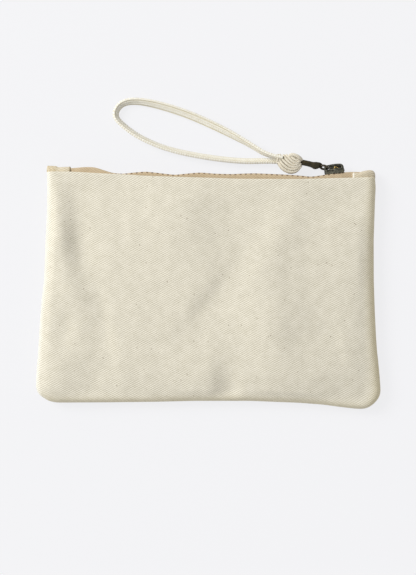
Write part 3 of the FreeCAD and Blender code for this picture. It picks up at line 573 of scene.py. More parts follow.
def tape_grid(side):
    """The tape's section, from its sewn edge up over the turn and down into the bead, along the mouth."""
    x = np.linspace(-TAPE_HALF, TAPE_HALF, 311)[None]
    sunk = np.clip((np.abs(x) - 82) / 6, 0, 1)
    level = 3.62 - (1.0 if side > 0 else 0.4) * sunk
    rise = np.array([60.0, 63.0, 66.0, 69.0, 71.0])[:, None]
    top = CHAIN_LEVEL + side * level
    start = chain_spot(x, side * 2.5, 0.55)[0]
    radius = np.abs(top[0] - start[:, 2]) / (1 + side * math.sin(CHAIN_LEAN))
    lean = side * CHAIN_LEAN
    turns = np.linspace(math.pi / 2, -lean, 9)[:, None]
    hub_y = start[:, 1] - radius * math.cos(lean)
    hub_z = top[0] - side * radius
    inside = side * np.array([1.5, 1.2, 0.8, 0.4, 0.0])[:, None]
    flat_part = spots(x, np.minimum(rise, hub_y - 0.2), top - inside)
    bend = spots(x, hub_y + radius * np.cos(turns), hub_z + side * radius * np.sin(turns))
    down = [chain_spot(x, side * out, depth) for out, depth in ((2.25, 0.5), (1.95, 0.38))]
    round_bead = [chain_spot(x, side * (1.15 + 0.62 * math.cos(a)), 0.62 * math.sin(a)) for a in np.radians(
        np.linspace(28, 330, 12))]
    return np.concatenate([flat_part, bend, *down, *round_bead])


tape_cloth = cloth_material("tape_cloth", twill, {
    "Wales": 11.0, "Light": (217, 198, 166), "Groove": (170, 148, 113), "Seed": (150, 128, 98)}, 0.5, 0.1, 0.25)
# painted shade: a dark brown spot on the turn of the front tape beside each tooth, standing for the shade round
# the jaws
TOOTH_PITCH = 3.25
front_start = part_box("front_zip_teeth")[0][0] / MM + 0.6
along_tape = Shade(new_node(tape_cloth.node_tree, "TexCoord").outputs["Object"]).axes()[0]
tooth_turn = 2 * math.pi / TOOTH_PITCH
beside_tooth = (along_tape * (tooth_turn / MM) - tooth_turn * front_start).math("COSINE").ramp(0.15, 0.75)
mask_tint(tape_cloth, "painted_jaw_shade", (104, 74, 42), beside_tooth)
for label, side in SIDES:
    points = tape_grid(side)
    # how strongly the painted shade beside the teeth shows at each row of the front tape
    mark = np.zeros(points.shape[:2])
    if side > 0:
        here = points[6:17, :, 0]
        mark[6:17] = np.array([0.3, 0.9, 1, 1, 0.85, 0.6, 0.6, 0.75, 0.9, 0.9, 0.9])[:, None]
        mark[6:17] *= np.clip((here + 66) / 10, 0, 1) * np.clip((82.5 - here) / 2, 0, 1)
    tape = grid_piece("%s_woven_tape" % label, points[:, ::side], flat_lay(points)[:, ::side],
                      material=tape_cloth)
    keep_mask(tape, "painted_jaw_shade", mark[:, ::side])
    thicken(tape, TAPE_THICK)
    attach(tape, "pouch")
    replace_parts(tape, "%s_zip_tape" % label)

# ------------------------ zip teeth and stops
# Each tooth is a stamped metal clip: two jaws closed on the tape's bead, and a head with a nib that locks
# between the heads of the other row.  Larger clips at the ends stop the slider.
# outline of one tooth seen from its edge: out from the middle of the chain, and depth
TOOTH_OUTLINE = np.array([
    (-0.55, -0.40), (-0.25, -0.85), (0.30, -1.08), (1.60, -1.10), (2.10, -0.92), (2.22, -0.62), (2.10, -0.34),
    (1.30, -0.30), (1.30, 0.30), (2.10, 0.34), (2.22, 0.62), (2.10, 0.92), (1.60, 1.10), (0.30, 1.08),
    (-0.25, 0.85), (-0.55, 0.40),
])


def tooth_shape(width, side, grow):
    """The outline carried across the tooth's width, drawn in a little at both faces."""
    outline = TOOTH_OUTLINE * grow
    middle = outline.mean(0)
    rings = [spots(along * width, *(middle + (outline - middle) * draw).T[::-1])
             for along, draw in ((-0.5, 0.86), (-0.34, 1.0), (0.34, 1.0), (0.5, 0.86))]
    faces = tube_faces(4, len(outline))
    return np.concatenate(rings) * (1, 1, side), faces if side < 0 else [face[::-1] for face in faces]


# worn metal: a plated skin with paler rubbed patches, darker pits and fine scratches along one way
worn_metal, out, (place, plate, rubbed, pits, rough) = finish_group(
    "worn_metal", ("Plate", "Rubbed", "Pits"), Rough=0.4)
grain = place.stretched(12, 90, 90).noise(1.0, 3.0, 0.6)
rub = (grain * 0.45 + place.noise(5.0, 4.0, 0.6) * 0.55).ramp(0.46, 0.66)
pit = place.noise(28.0, 3.0, 0.6).ramp(0.62, 0.72)
feed(out["Color"], pit.mix(rub.mix(plate, rubbed), pits))
feed(out["Roughness"], grain * 0.25 + rough)
feed(out["Height"], grain * 0.5 - pit * 0.6)


def metal_material(name, plate, rubbed, pits, rough, shine, bump=0.15):
    """A plated metal: the colours of its skin, its rubbed places and its pits, then its roughness and shine."""
    values = {"Plate": plate, "Rubbed": rubbed, "Pits": pits, "Rough": rough}
    return finish(name, worn_metal, values, bump, 0.05, {"Metallic": shine}, "Object")


tooth_metal = metal_material("tooth_metal", (112, 88, 58), (148, 122, 84), (62, 48, 32), 0.38, 0.8)


def teeth_row(name, x, side, width, grow=1.0):
    """Teeth clipped on one tape's bead at each x, turned with the wave of the chain."""
    slope = np.arctan(np.gradient(crest(x), x)) if len(x) > 1 else np.zeros(1)
    along = spots(np.cos(slope), np.sin(slope), 0.0)
    face = spots(-np.sin(slope) * math.cos(CHAIN_LEAN), np.cos(slope) * math.cos(CHAIN_LEAN),
                 -math.sin(CHAIN_LEAN))
    sunk = -0.28 - 0.16 * np.clip((-54 - x) / 8, 0, 1) - 0.9 * np.clip((x - 84) / 3, 0, 1)
    row = repeated(name, *tooth_shape(width, side, grow), chain_spot(x, 0, sunk), along, face, tooth_metal)
    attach(row, "pouch")
    return row


back_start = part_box("back_zip_teeth")[0][0] / MM + 0.6
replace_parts(teeth_row("front_teeth", front_start + TOOTH_PITCH * np.arange(53), 1, 1.1), "front_zip_teeth")
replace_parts(teeth_row("back_teeth", back_start + TOOTH_PITCH * np.arange(52), -1, 1.1), "back_zip_teeth")
ends = [teeth_row(label + "_top_stop", np.array([88.2]), side, 1.7, 0.88) for label, side in SIDES]
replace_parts(ends[0], "top_stops")
low_stop = [teeth_row(label + "_bottom_stop", np.array([-87.5]), side, 1.8, 1.1) for label, side in SIDES]
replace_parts(low_stop[0], "bottom_stop")

# ------------------------ zip end tabs
# A short strip of the bag's canvas folded over each end of the zip, with its inner edge turned in.  It
# stands a little above the mouth and is caught in the side seam, where it thins and rounds down.
TAB_FRONT_HALF = 3.75
# where the inner fold is, where the side seam is, the corner's radius, and the top line between them
TABS = (
    ("left", -87.6, -102.5, 1.3, [
        (0.0, 76.8), (1.0, 76.2), (3.0, 76.1), (7.2, 76.0), (8.4, 76.4), (9.4, 76.8), (14.9, 77.0)]),
    ("right", 89.3, 103.8, 3.0, [
        (0.0, 76.2), (1.6, 76.1), (4.0, 75.7), (7.2, 77.0), (10.2, 77.7), (14.5, 77.6)]),
)
FOLD_RADIUS = 0.72
tab_canvas = cloth_material("tab_canvas", twill, {
    "Light": (231, 221, 197), "Groove": (180, 166, 136), "Seed": (104, 82, 58)}, 0.55, 0.15)
# a darker tan tint on the left tab's outer corner and along its inner fold
mask_tint(tab_canvas, "left_tab_tan", (186, 164, 120))
# painted highlight: a near-white tint along the inner fold of the right tab, where it faces the lamp
mask_tint(tab_canvas, "rubbed", (252, 250, 240))
for label, inner_x, outer_x, corner, top_line in TABS:
    toward = 1 if outer_x > inner_x else -1
    length = abs(outer_x - inner_x)
    turns = np.radians(np.linspace(180, 0, 9))
    reach = np.r_[FOLD_RADIUS + 3.0, FOLD_RADIUS + 1.2, FOLD_RADIUS * (1 - np.sin(turns)),
                  np.linspace(FOLD_RADIUS + 0.8, length - corner - 0.2, 16),
                  length - corner * (1 - np.sin(np.radians(np.linspace(8, 90, 9)))), length - 0.8]
    inward = np.r_[2 * FOLD_RADIUS, 2 * FOLD_RADIUS, FOLD_RADIUS * (1 - np.cos(turns)), np.zeros(26)]
    round_off = np.clip((reach - (length - corner)) / corner, 0, 1)
    round_off[-1] = 1
    top = np.interp(reach, *np.array(top_line).T) - corner * (1 - np.sqrt(1 - round_off ** 2)) - inward
    depth = TAB_FRONT_HALF - 2.6 * (1 - np.sqrt(1 - np.clip((reach - length + 6.5) / 6.5, 0, 1) ** 2)) - inward
    depth += 0.4 * np.exp(-(reach / 1.1) ** 2)
    depth[-1] = 0.1
    top[-1] -= 0.8
    arc = np.radians(np.linspace(90, -90, 19))[:, None]
    cap = np.minimum(2.6, top - 70)
    over_y = top - cap + cap * np.abs(np.cos(arc)) ** 0.75
    over_z = np.sign(np.sin(arc)) * np.abs(np.sin(arc)) ** 0.75 * depth
    legs = np.array([66.5, 68.5, 70.0])[:, None]
    leg_y = legs + 0 * reach
    leg_z = depth - 0.25 * np.exp(-((legs - 70) / 2) ** 2) * (depth > 1)
    y = np.concatenate([leg_y, over_y, leg_y[::-1]])
    z = np.concatenate([leg_z, over_z, -leg_z[::-1]])
    x = inner_x + toward * (reach - 1.6 * np.clip((72.5 - y) / 3, 0, 1) * (reach / length) ** 3)
    middle = SEAM_LEVEL + 1.15 * np.clip((length - reach) / 5, 0, 1)
    sag = 0.35 * np.sin(np.clip(reach / length, 0, 1) * math.pi * 2.2)
    wave = 0.22 * np.sin(x / 2.1 + y / 1.7) * np.clip(depth / 3, 0, 1)
    points = spots(x, y + wave * 0.4, z + middle + (sag + wave) * np.sign(z))
    cap_piece = grid_piece("%s_zip_cap" % label, points[:, ::toward], flat_lay(points)[:, ::toward],
                           material=tab_canvas)
    fold_edge = np.exp(-((x - inner_x) / 0.9) ** 2)
    far_corner = np.clip((toward * (x - inner_x) - 7.6) / 1.4, 0, 1) * (0.55 + 0.45 * np.sin(2.4 * x + 1.9 * y))
    # painted highlight along the right tab's inner fold
    keep_mask(cap_piece, "rubbed", (0.85 * fold_edge * (toward > 0))[:, ::toward])
    # a darker tan tint on the left tab's outer corner and along its inner fold
    keep_mask(cap_piece, "left_tab_tan", (np.maximum(0.6 * far_corner, 0.4 * fold_edge) * (toward < 0))[:, ::toward])
    thicken(cap_piece, 0.65)
    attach(cap_piece, "pouch")
    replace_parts(cap_piece, "%s_zip_end_tab" % label)

# ------------------------ slider
# The slider is cast metal with a dark bronze plating: an upper and a lower plate joined by a post at the
# nose, each with turned-in flanges that guide the teeth.  A bridge on the upper plate holds the pull,
# and a brass spring strip under it carries the lock.  The slider sits a little askew on the chain.
SLIDER_TURN = math.radians(8)
SLIDER_MIDDLE = np.array([78.3, 74.9])
TAIL_X, SLIDER_LENGTH = 72.0, 12.6
# lowest and highest Y of the upper and the lower plate
PLATES = ((75.75, 76.85), (72.05, 72.95))


def spline_line(route, cyclic=False):
    """Points along a smooth spline that has the route's points as its control points, in mm."""
    curve = bpy.data.curves.new("route", "CURVE")
    curve.dimensions = "3D"
    spline = curve.splines.new("NURBS")
    spline.points.add(len(route) - 1)
    spline.points.foreach_set("co", np.c_[np.array(route) * MM, np.ones(len(route))].reshape(-1))
    spline.use_cyclic_u = cyclic
    spline.order_u = 3
    spline.use_endpoint_u = not cyclic
    spline.resolution_u = 24
    shown = bpy.data.objects.new("route", curve)
    mesh = bpy.data.meshes.new_from_object(shown)
    line = np.empty(len(mesh.vertices) * 3)
    mesh.vertices.foreach_get("co", line)
    bpy.data.objects.remove(shown)
    bpy.data.meshes.remove(mesh)
    bpy.data.curves.remove(curve)
    return line.reshape(-1, 3) / MM


def shut(piece, looped=False):
    """Welds a looped tube's first and last rings, or fills a tube's two ends, and turns the faces outwards."""
    shape = bmesh.new()
    shape.from_mesh(piece.data)
    if looped:
        bmesh.ops.remove_doubles(shape, verts=shape.verts, dist=1e-7)
    else:
        bmesh.ops.holes_fill(shape, edges=[edge for edge in shape.edges if edge.is_boundary], sides=0)
    bmesh.ops.recalc_face_normals(shape, faces=shape.faces)
    shape.to_mesh(piece.data)
    shape.free()


def lofted(name, centres, side_axis, up_axis, half_side, half_up, square, count=32, material=None):
    """Rings of a rounded-square outline carried through the centres, closed by one face at each end."""
    turn = np.linspace(0, 2 * math.pi, count, endpoint=False)
    a = (np.sign(np.cos(turn)) * np.abs(np.cos(turn)) ** (2 / square))[None, :, None]
    b = (np.sign(np.sin(turn)) * np.abs(np.sin(turn)) ** (2 / square))[None, :, None]
    side_axis = np.broadcast_to(side_axis, centres.shape)[:, None]
    up_axis = np.broadcast_to(up_axis, centres.shape)[:, None]
    half_side = np.broadcast_to(half_side, len(centres))[:, None, None]
    half_up = np.broadcast_to(half_up, len(centres))[:, None, None]
    points = centres[:, None] + half_side * a * side_axis + half_up * b * up_axis
    piece = grid_piece(name, points, closed=True, material=material)
    shut(piece)
    return piece


def askew(*parts):
    """Points turned about the slider's middle by its small tilt on the chain."""
    points = spots(*parts)
    off_x, off_y = points[..., 0] - SLIDER_MIDDLE[0], points[..., 1] - SLIDER_MIDDLE[1]
    cosine, sine = math.cos(SLIDER_TURN), math.sin(SLIDER_TURN)
    return spots(SLIDER_MIDDLE[0] + off_x * cosine - off_y * sine,
                 SLIDER_MIDDLE[1] + off_x * sine + off_y * cosine, points[..., 2])


def joined(name, pieces, material):
    """One mesh from several closed shells."""
    shape = bmesh.new()
    for piece in pieces:
        shape.from_mesh(piece.data)
        bpy.data.objects.remove(piece)
    mesh = bpy.data.meshes.new(name)
    shape.to_mesh(mesh)
    shape.free()
    mesh.materials.append(material)
    return placed(name, mesh)


TILT_X = np.array([math.cos(SLIDER_TURN), math.sin(SLIDER_TURN), 0])
TILT_Y = np.array([-math.sin(SLIDER_TURN), math.cos(SLIDER_TURN), 0])
ACROSS = np.array([0.0, 0.0, 1.0])
slider_metal = metal_material("slider_metal", (54, 53, 46), (118, 116, 100), (22, 21, 17), 0.34, 0.85)
along = fine_ends(SLIDER_LENGTH, 0.7, [0, 0.08, 0.25, 0.5, 0.9, 1.4], [0, 0.08, 0.25, 0.5, 0.9, 1.4, 2.0])
along *= SLIDER_LENGTH
to_nose = SLIDER_LENGTH - along
half_span = 3.35 + 1.2 * np.clip((along - 2.5) / 6, 0, 1) ** 1.3
half_span -= 1.3 * (1 - np.sqrt(1 - np.clip(1 - along / 1.4, 0, 1) ** 2))
half_span -= 3.4 * (1 - np.sqrt(1 - np.clip(1 - to_nose / 2.8, 0, 0.995) ** 2))
rounding = 1 - 0.35 * np.clip(1 - np.minimum(along, to_nose) / 0.35, 0, 1) ** 2
wall, field = slice(2, -3), slice(2, -2)
shells = []
for (low, high), share, inner, turn_in in zip(PLATES, (1.0, 0.68), (PLATES[0][0], PLATES[1][1]), (-0.35, 0.35)):
    span = share * half_span
    plate = askew(TAIL_X + along, (low + high) / 2, CHAIN_LEVEL)
    shells.append(lofted("plate", plate, ACROSS, TILT_Y, span, (high - low) / 2 * rounding, 6))
    for hand in (-1, 1):
        flange = askew(TAIL_X + along[wall], inner + turn_in, CHAIN_LEVEL + hand * (span[wall] - 0.4))
        shells.append(lofted("flange", flange, ACROSS, TILT_Y, 0.35, 0.55, 4))
post = askew(81.9, np.linspace(72.6, 76.2, 5), CHAIN_LEVEL)
shells.append(lofted("post", post, TILT_X, ACROSS, 1.3, 0.75, 2.4))
raised_field = askew(TAIL_X + along[field], 77.3, CHAIN_LEVEL)
shells.append(lofted("raised_field", raised_field, ACROSS, TILT_Y, half_span[field] - 0.6, 0.6, 5))
web = askew(79.0, np.linspace(77.6, 80.0, 6), 5.7)
shells.append(lofted("web", web, TILT_X, ACROSS, 3.7, 0.45, 8))
slider = joined("slider_plates", shells, slider_metal)
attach(slider, "slider")
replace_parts(slider, "slider_body")

BRIDGE_LINE = np.array([
    (72.6, 76.7), (72.5, 78.2), (72.6, 79.9), (74.1, 80.3), (78.0, 80.4), (82.2, 80.1), (83.4, 79.3),
    (83.4, 78.0), (83.2, 76.7)])
# share of the bridge's length, and its half thickness
BRIDGE_THICK = np.array([
    (0, 0.6), (0.2, 0.5), (0.32, 0.48), (0.5, 0.66), (0.72, 0.78), (0.85, 0.9), (1.0, 1.0)])
bridge_line, run = even_steps(askew(*spline_line(spots(*BRIDGE_LINE.T, CHAIN_LEVEL)).T), 0.3)
share = run / run[-1]
bridge = lofted("slider_bridge", bridge_line, ACROSS, np.cross(ACROSS, heading(bridge_line)),
                1.5 + 0.18 * np.cos(2 * math.pi * share), np.interp(share, *BRIDGE_THICK.T), 4,
                material=slider_metal)
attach(bridge, "slider")
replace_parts(bridge, "slider_crown")

SPRING_LINE = np.array([
    (82.2, 77.7), (81.4, 77.75), (80.6, 78.0), (80.2, 78.7), (79.7, 79.15), (79.0, 79.1), (78.6, 78.6),
    (78.5, 78.0)])
spring_brass = metal_material("spring_brass", (196, 158, 82), (240, 214, 140), (120, 90, 44), 0.25, 1.0)
spring_line, _ = even_steps(askew(*spline_line(spots(*SPRING_LINE.T, CHAIN_LEVEL)).T), 0.2)
spring_up = np.cross(ACROSS, heading(spring_line))
spring = lofted("lock_spring", spring_line, ACROSS, spring_up, 0.75, 0.2, 5, 20, spring_brass)
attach(spring, "slider")
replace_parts(spring, "slider_lock_spring")

# ------------------------ pull link
# A closed loop of thick plated wire.  One end passes under the slider's bridge and the other through the
# thick end of the pull tab, so the tab hinges on it.
PULL_TILT = math.radians(10)
PULL_AHEAD = np.array([-math.cos(PULL_TILT), math.sin(PULL_TILT), 0.0])
PULL_UP = np.array([math.sin(PULL_TILT), math.cos(PULL_TILT), 0.0])
LINK_HINGE = np.array([74.05, 78.3, 6.5])
LINK_LENGTH = 4.5
LINK_HALF = 2.3
LINK_CORNER = 0.9
LINK_FLAT = LINK_HALF - LINK_CORNER
# one side of the loop seen flat, from the bridge to the tab; the other side mirrors it
link_side = np.array([
    (0, 0), (0, LINK_FLAT), (0, LINK_HALF), (LINK_CORNER, LINK_HALF), (LINK_LENGTH / 2, LINK_HALF + 0.1),
    (LINK_LENGTH - LINK_CORNER, LINK_HALF), (LINK_LENGTH, LINK_HALF), (LINK_LENGTH, LINK_FLAT),
    (LINK_LENGTH, 0)])
link_plan = np.r_[link_side, link_side[-2:0:-1] * (1, -1)]
link_twist = np.radians(np.interp(link_plan[:, 0], [0.4, 1.6, 3.2, LINK_LENGTH], [0, 25, 25, 15]))[:, None]
link_route = (LINK_HINGE + link_plan[:, :1] * PULL_AHEAD
              + link_plan[:, 1:] * (np.cos(link_twist) * ACROSS + np.sin(link_twist) * PULL_UP))
link_line, _ = even_steps(spline_line(link_route, True), 0.3, True)
ahead = heading(link_line, True)
wire_turn = np.linspace(0, 2 * math.pi, 16, endpoint=False)[None, :, None]
wire_side = unit(np.cross(ahead, PULL_UP))
wire_up = unit(np.cross(wire_side, ahead))[:, None]
points = link_line[:, None] + 0.68 * (np.cos(wire_turn) * wire_side[:, None] + np.sin(wire_turn) * wire_up)
link_metal = metal_material("link_metal", (58, 52, 42), (104, 94, 74), (26, 23, 18), 0.3, 0.85)
link = grid_piece("wire_link", np.concatenate([points, points[:1]]), closed=True, material=link_metal)
shut(link, True)
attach(link, "link")
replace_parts(link, "pull_link")

# ------------------------ pull tab
# A cast bar in the same dark plating: a narrow knuckle round the link's wire, a thick block behind it, and
# a thinner blade whose far end is held in the cord's knot.  The plating is rubbed paler along its faces.
TAB_HINGE = LINK_HINGE + LINK_LENGTH * PULL_AHEAD
# distance from the hinge, rise of the middle, half thickness, half width
TAB_SECTIONS = np.array([
    (-0.85, 0.30, 0.25, 0.7), (-0.8, 0.35, 0.5, 0.95), (-0.6, 0.5, 0.95, 1.15), (-0.2, 0.65, 1.3, 1.25),
    (0.3, 0.72, 1.5, 1.28), (0.8, 0.7, 1.66, 1.35), (0.95, 0.68, 1.7, 2.2), (1.3, 0.6, 1.82, 2.5),
    (1.9, 0.42, 2.02, 2.6), (2.6, 0.22, 2.2, 2.6), (3.4, 0.08, 2.28, 2.6), (4.2, 0.02, 2.22, 2.6),
    (4.9, 0.05, 1.98, 2.55), (5.6, 0.15, 1.78, 2.5), (7.0, 0.3, 1.7, 2.42), (9.0, 0.42, 1.66, 2.4),
    (13.0, 0.42, 1.66, 2.45), (15.0, 0.35, 1.6, 2.45), (16.4, 0.3, 1.5, 2.3), (16.9, 0.3, 1.3, 2.05),
    (17.15, 0.3, 0.9, 1.6), (17.2, 0.3, 0.4, 1.0),
])
reach = np.r_[np.linspace(-0.85, 2.8, 40), np.linspace(2.95, 16.2, 50), np.linspace(16.3, 17.2, 16)]
middle_rise, half_up, half_side = (np.interp(reach, TAB_SECTIONS[:, 0], part) for part in TAB_SECTIONS.T[1:])
centres = TAB_HINGE + reach[:, None] * PULL_AHEAD + middle_rise[:, None] * PULL_UP
tab_metal = metal_material("tab_metal", (38, 33, 18), (72, 63, 38), (22, 19, 11), 0.42, 0.65, 0.3)
tab = lofted("pull_tab_bar", centres, ACROSS, PULL_UP, half_side, half_up, 5.5, 48, tab_metal)
dish = np.empty(len(tab.data.vertices) * 3)
tab.data.vertices.foreach_get("co", dish)
dish = dish.reshape(-1, 3)
off = dish / MM - TAB_HINGE
run, rise, across = off @ PULL_AHEAD, off @ PULL_UP - 0.3, off[:, 2]
fields = (np.clip((run - 3.0) / 0.8, 0, 1) * np.clip(1 - (np.abs(rise) / 1.25) ** 6, 0, 1)
          * (np.abs(across) > 2.0))
dish[:, 2] -= np.sign(across) * fields * 0.16 * MM
tab.data.vertices.foreach_set("co", dish.reshape(-1))
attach(tab, "pull")
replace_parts(tab, "pull_tab")

# ------------------------ wrist cord
# One length of flat tubular braid in undyed cotton, doubled into a loop.  Both ends go into the knot on
# the pull tab; the loop lies face up along its top run, stands on edge round the far turn and leans
# back down along its lower run.
CORD_WIDE = 5.6
CORD_THICK = 2.5
CORD_ROUTE = [
    (45.5, 83.8, 9.3), (36.5, 84.9, 8.9), (24.0, 92.8, 6.4), (6.0, 102.3, 4.2), (-18.0, 112.5, 3.1),
    (-43.5, 119.1, 3.05), (-56.6, 117.9, 3.1), (-61.4, 109.5, 3.1), (-54.8, 102.6, 3.1), (-44.0, 95.4, 3.1),
    (-27.0, 88.6, 3.1), (-4.0, 84.2, 3.1), (20.0, 81.8, 3.15), (36.0, 82.6, 3.3), (45.5, 82.3, 3.4),
]
# share of the cord's length, and the lean of its face from flat, in degrees
CORD_LEAN = [
    (0.00, 76), (0.10, 72), (0.14, 56), (0.18, 38), (0.29, 36), (0.38, 40), (0.44, 50), (0.50, 60), (0.56, 62),
    (0.62, 66), (0.70, 63), (0.80, 60), (0.91, 58), (1.00, 62),
]
CORD_SWELL = [
    (0.0, 0.86), (0.06, 0.95), (0.3, 1.02), (0.45, 0.94), (0.52, 0.9), (0.6, 0.94), (0.95, 0.9), (1.0, 0.82)]


def swept_band(line, run, across, wide, thick, pitch, rib):
    """A rounded strip along a line: chevron ribs meet at a shallow dip, and a groove sets off each edge."""
    turn = np.linspace(0, 2 * math.pi, 48, endpoint=False)
    side = np.sign(np.cos(turn)) * np.abs(np.cos(turn)) ** 0.8
    face = np.sign(np.sin(turn)) * np.abs(np.sin(turn)) ** 0.62
    over = unit(np.cross(heading(line), across))
    ribs = rib * np.cos(2 * math.pi * (run[:, None] + 0.45 * wide[:, None] * np.abs(side)) / pitch)
    dip = 1 - 0.14 * np.exp(-(side / 0.2) ** 2) - 0.36 * np.exp(-((np.abs(side) - 0.67) / 0.09) ** 2)
    out_side = (wide[:, None] / 2 + ribs) * side
    out_face = (thick[:, None] / 2 * dip + ribs) * face
    points = line[:, None] + out_side[..., None] * across[:, None] + out_face[..., None] * over[:, None]
    return points, spots(wide[:, None] / 2 * side, run[:, None])


# braid: chevron ribs that meet along the middle of each face, each rib split into fine yarns, with painted
# shade as a dark line down the groove beside each edge
braid, out, (place, light, groove, pitch, slant, edge_at) = finish_group(
    "braid", ("Light", "Groove"), Pitch=0.155, Slant=0.9, Edge=0.188)
part_x, part_y, _ = place.axes()
edgeward = part_x.math("ABSOLUTE")
chevron = (edgeward * slant + part_y) / pitch
rib = ((place.noise(3.0, 2.0, 0.6) * 0.5 + chevron) * (2 * math.pi)).math("COSINE") * 0.5 + 0.5
raised = rib * ((edgeward * 11.0 + chevron * 0.5).wave() * 0.35 + 0.65)
# painted shade: a thin dark line along the groove beside each edge of the band
painted_groove_shade = (edgeward - edge_at).math("ABSOLUTE").ramp(0.0, 0.042, 1.15, 0.0)
tone = raised * 0.7 + place.noise(4.0, 2.0, 0.5) * 0.6 - painted_groove_shade
fuzz = place.noise(40.0, 3.0, 0.65)
feed(out["Color"], tone.mix(groove, light))
feed(out["Height"], fuzz * 0.3 + raised)
feed(out["Roughness"], fuzz * 0.15 + 0.78)
cord_braid = cloth_material(
    "cord_braid", braid, {"Light": (254, 252, 242), "Groove": (212, 203, 175)}, 0.45, 0.12)

cord_line, cord_run = even_steps(spline_line(CORD_ROUTE), 0.4)
share = cord_run / cord_run[-1]
lean = np.radians(np.interp(share, *np.array(CORD_LEAN).T))
lean = np.convolve(np.pad(lean, 20, "edge"), np.ones(41) / 41, "valid")[:, None]
level = unit(np.cross(heading(cord_line), (0, 0, 1)))
upward = unit(np.cross(level, heading(cord_line)))
swell = np.interp(share, *np.array(CORD_SWELL).T)
points, flat = swept_band(cord_line, cord_run, level * np.cos(lean) + upward * np.sin(lean),
                          CORD_WIDE * swell, CORD_THICK * np.ones_like(swell), 1.55, 0.055)
cord = grid_piece("wrist_cord_braid", points, flat, closed=True, material=cord_braid)
shut(cord)
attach(cord, "pull")
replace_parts(cord, "wrist_cord")

# ------------------------ cord knot
# Both ends of the cord pass through the tab's eye and are tied round its blade: one ring over the blade,
# turns of cord laid side by side that slant down and sweep round underneath, and a wrap over the throat
# where the loop leaves.
KNOT_MIDDLE = np.array([50.0, 80.9, 6.5])
# each turn's front run, from its upper left end to its right end
KNOT_TURNS = [
    [(42.2, 82.6), (43.6, 79.6), (46.0, 77.0), (49.2, 75.5), (52.2, 75.3), (55.0, 76.6), (56.9, 79.4)],
    [(43.0, 84.2), (44.2, 81.4), (46.6, 78.8), (49.6, 77.0), (52.6, 76.8), (55.0, 78.2), (56.5, 80.6)],
    [(44.2, 85.2), (45.6, 82.6), (48.0, 80.2), (50.6, 78.5), (53.2, 78.2), (55.4, 79.6)],
    [(45.9, 85.7), (47.2, 83.5), (49.4, 81.3), (51.6, 79.8), (53.8, 79.7), (55.6, 80.9)],
    [(47.6, 85.8), (48.9, 84.2), (50.8, 82.4), (52.8, 81.1), (54.6, 81.2), (56.0, 82.2)],
    [(49.6, 85.6), (50.8, 84.6), (52.4, 83.3), (54.0, 82.6), (55.6, 83.0)],
]
KNOT_DEPTH = 4.4
STRAND = 1.75
STRAND_STEP = 0.35
RIB_PITCH = 1.1
KNOT_RING = [
    (49.3, 84.1, 9.8), (49.8, 85.6, 10.3), (51.4, 86.1, 10.5), (53.7, 85.6, 10.6), (56.0, 84.2, 10.0),
    (57.2, 82.8, 8.0), (57.0, 82.7, 5.0), (55.7, 84.3, 3.0), (53.6, 85.5, 2.5), (51.4, 86.0, 2.6),
    (49.8, 85.5, 2.9), (49.2, 84.2, 3.6),
    (48.9, 83.2, 5.0), (48.9, 83.2, 8.2),
]
KNOT_WRAP = [
    (42.3, 85.6, 9.9), (42.2, 83.7, 11.2), (42.3, 81.8, 10.0), (42.4, 80.9, 6.5), (42.5, 81.6, 2.9),
    (42.5, 83.6, 1.8),
    (42.5, 85.5, 3.0), (42.4, 86.4, 6.5),
]
KNOT_THROAT = [
    (43.4, 85.3, 9.0), (43.2, 83.4, 10.2), (43.6, 81.2, 9.2), (44.2, 80.2, 6.5), (43.8, 81.2, 3.6),
    (43.4, 83.4, 2.8),
    (43.4, 85.2, 3.9), (43.8, 86.0, 6.5),
]
knot_braid = cloth_material("knot_braid", braid, {
    "Light": (245, 239, 223), "Groove": (195, 182, 152), "Pitch": 0.11, "Slant": 1.2, "Edge": 2.0}, 0.6, 0.14)
strands = []


def knot_strand(route, thick):
    """One closed turn of cord: a round strand with low chevron ribs, carried along its own spline."""
    line, run = even_steps(spline_line(route, True), STRAND_STEP, True)
    ahead = heading(line, True)
    across = unit(np.cross(ahead, line - KNOT_MIDDLE))
    over = unit(np.cross(across, ahead))
    turn = np.linspace(0, 2 * math.pi, 14, endpoint=False)
    ribs = 2 * math.pi * max(1, round(run[-1] / RIB_PITCH)) / (run[-1] + STRAND_STEP)
    rib = 0.05 * np.cos(ribs * run[:, None] + 2 * np.abs(np.sin(turn)))
    out_across = (thick / 2 * 0.92 + rib) * np.cos(turn)
    out_over = (thick / 2 + rib) * np.sin(turn)
    points = line[:, None] + out_across[..., None] * across[:, None] + out_over[..., None] * over[:, None]
    flat = spots(thick / 2 * np.cos(turn), run[:, None])
    points, flat = np.concatenate([points, points[:1]]), np.concatenate([flat, flat[-1:] + (0, STRAND_STEP)])
    strand = grid_piece("turn_of_cord", points, flat, closed=True)
    shut(strand, True)
    return strand


for number, front_run in enumerate(KNOT_TURNS):
    front_run = np.array(front_run)
    reach = (front_run - KNOT_MIDDLE[:2]) / (8.6, 6.6)
    swell_out = KNOT_DEPTH * np.sqrt(np.clip(1 - 0.82 * (reach ** 2).sum(1), 0.06, 1))
    front_side = np.c_[front_run, KNOT_MIDDLE[2] + swell_out]
    back_side = np.c_[front_run + (0.15 * number, 0), KNOT_MIDDLE[2] - swell_out][::-1]
    strands.append(knot_strand(np.r_[front_side, back_side], STRAND))
strands += [knot_strand(KNOT_RING, 2.3), knot_strand(KNOT_WRAP, 1.1), knot_strand(KNOT_THROAT, 2.0)]
core_run = np.linspace(-1, 1, 25)[1:-1]
core_round = np.sqrt(1 - core_run ** 2)
core_centres = KNOT_MIDDLE + core_run[:, None] * np.array([6.6, -1.2, 0.0])
core = lofted("core_of_cord", core_centres, (0, 1, 0), ACROSS, 4.6 * core_round, 3.5 * core_round, 2.0, 28)
strands.append(core)
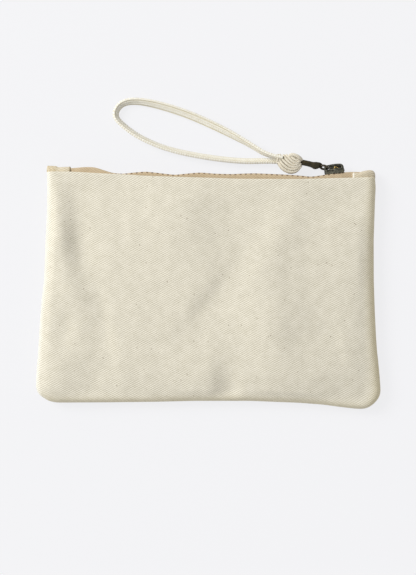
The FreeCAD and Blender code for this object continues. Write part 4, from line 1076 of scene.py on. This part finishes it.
knot = joined("cord_knot_turns", strands, knot_braid)
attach(knot, "pull")
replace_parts(knot, "cord_knot")

# ------------------------ table, lamps and camera
# A wide pale table under one large soft lamp at the upper left and an even white room, with the camera
# straight overhead.
TABLE_HALF = 3.0
TABLE_COLOUR = colour(244, 244, 246)
table_mesh = bpy.data.meshes.new("table")
table_mesh.from_pydata(
    [(x * TABLE_HALF, y * TABLE_HALF, -0.0002) for x, y in ((-1, -1), (1, -1), (1, 1), (-1, 1))],
    [], [(0, 1, 2, 3)])
table = placed("table", table_mesh)


def seen(tree):
    """1 for what the camera or a polished surface looks at, 0 for light on its way."""
    rays = new_node(tree, "LightPath").outputs
    return Shade(rays["Is Camera Ray"]).math("MAXIMUM", Shade(rays["Is Glossy Ray"]))


paper = bpy.data.materials.new("table_paper")
paper.use_nodes = True
tree = paper.node_tree
tree.nodes.remove(tree.nodes["Principled BSDF"])
matt, glow = (
    Shade(new_node(tree, kind, {"Color": TABLE_COLOUR}).outputs[0]) for kind in ("BsdfDiffuse", "Emission"))
mixed = matt.node("MixShader", {0: seen(tree) * 0.88, 1: matt, 2: glow})
feed(tree.nodes["Material Output"].inputs["Surface"], mixed)
table_mesh.materials.append(paper)

room = bpy.data.worlds.new("room")
bpy.context.scene.world = room
room.use_nodes = True
background = room.node_tree.nodes["Background"].inputs
feed(background["Color"], TABLE_COLOUR)
feed(background["Strength"], seen(room.node_tree) * 0.45 + 0.55)

LAMP_PLACE = Vector((-2.1, 1.05, 1.95))
window = bpy.data.lights.new("window", "AREA")
window.size = 1.4
window.energy = 75.0
lamp = placed("window", window)
lamp.location = LAMP_PLACE
lamp.rotation_euler = (-LAMP_PLACE).to_track_quat("-Z", "Y").to_euler()

view = bpy.data.cameras.new("overhead")
view.lens = 100.0
view.sensor_width = 36.0
overhead = placed("overhead", view)
overhead.location = (0.0, 0.0021, 1.009)
overhead.rotation_euler = (0.0, 0.0, math.radians(1.0))
bpy.context.scene.camera = overhead
bpy.context.scene.view_settings.view_transform = "Standard"
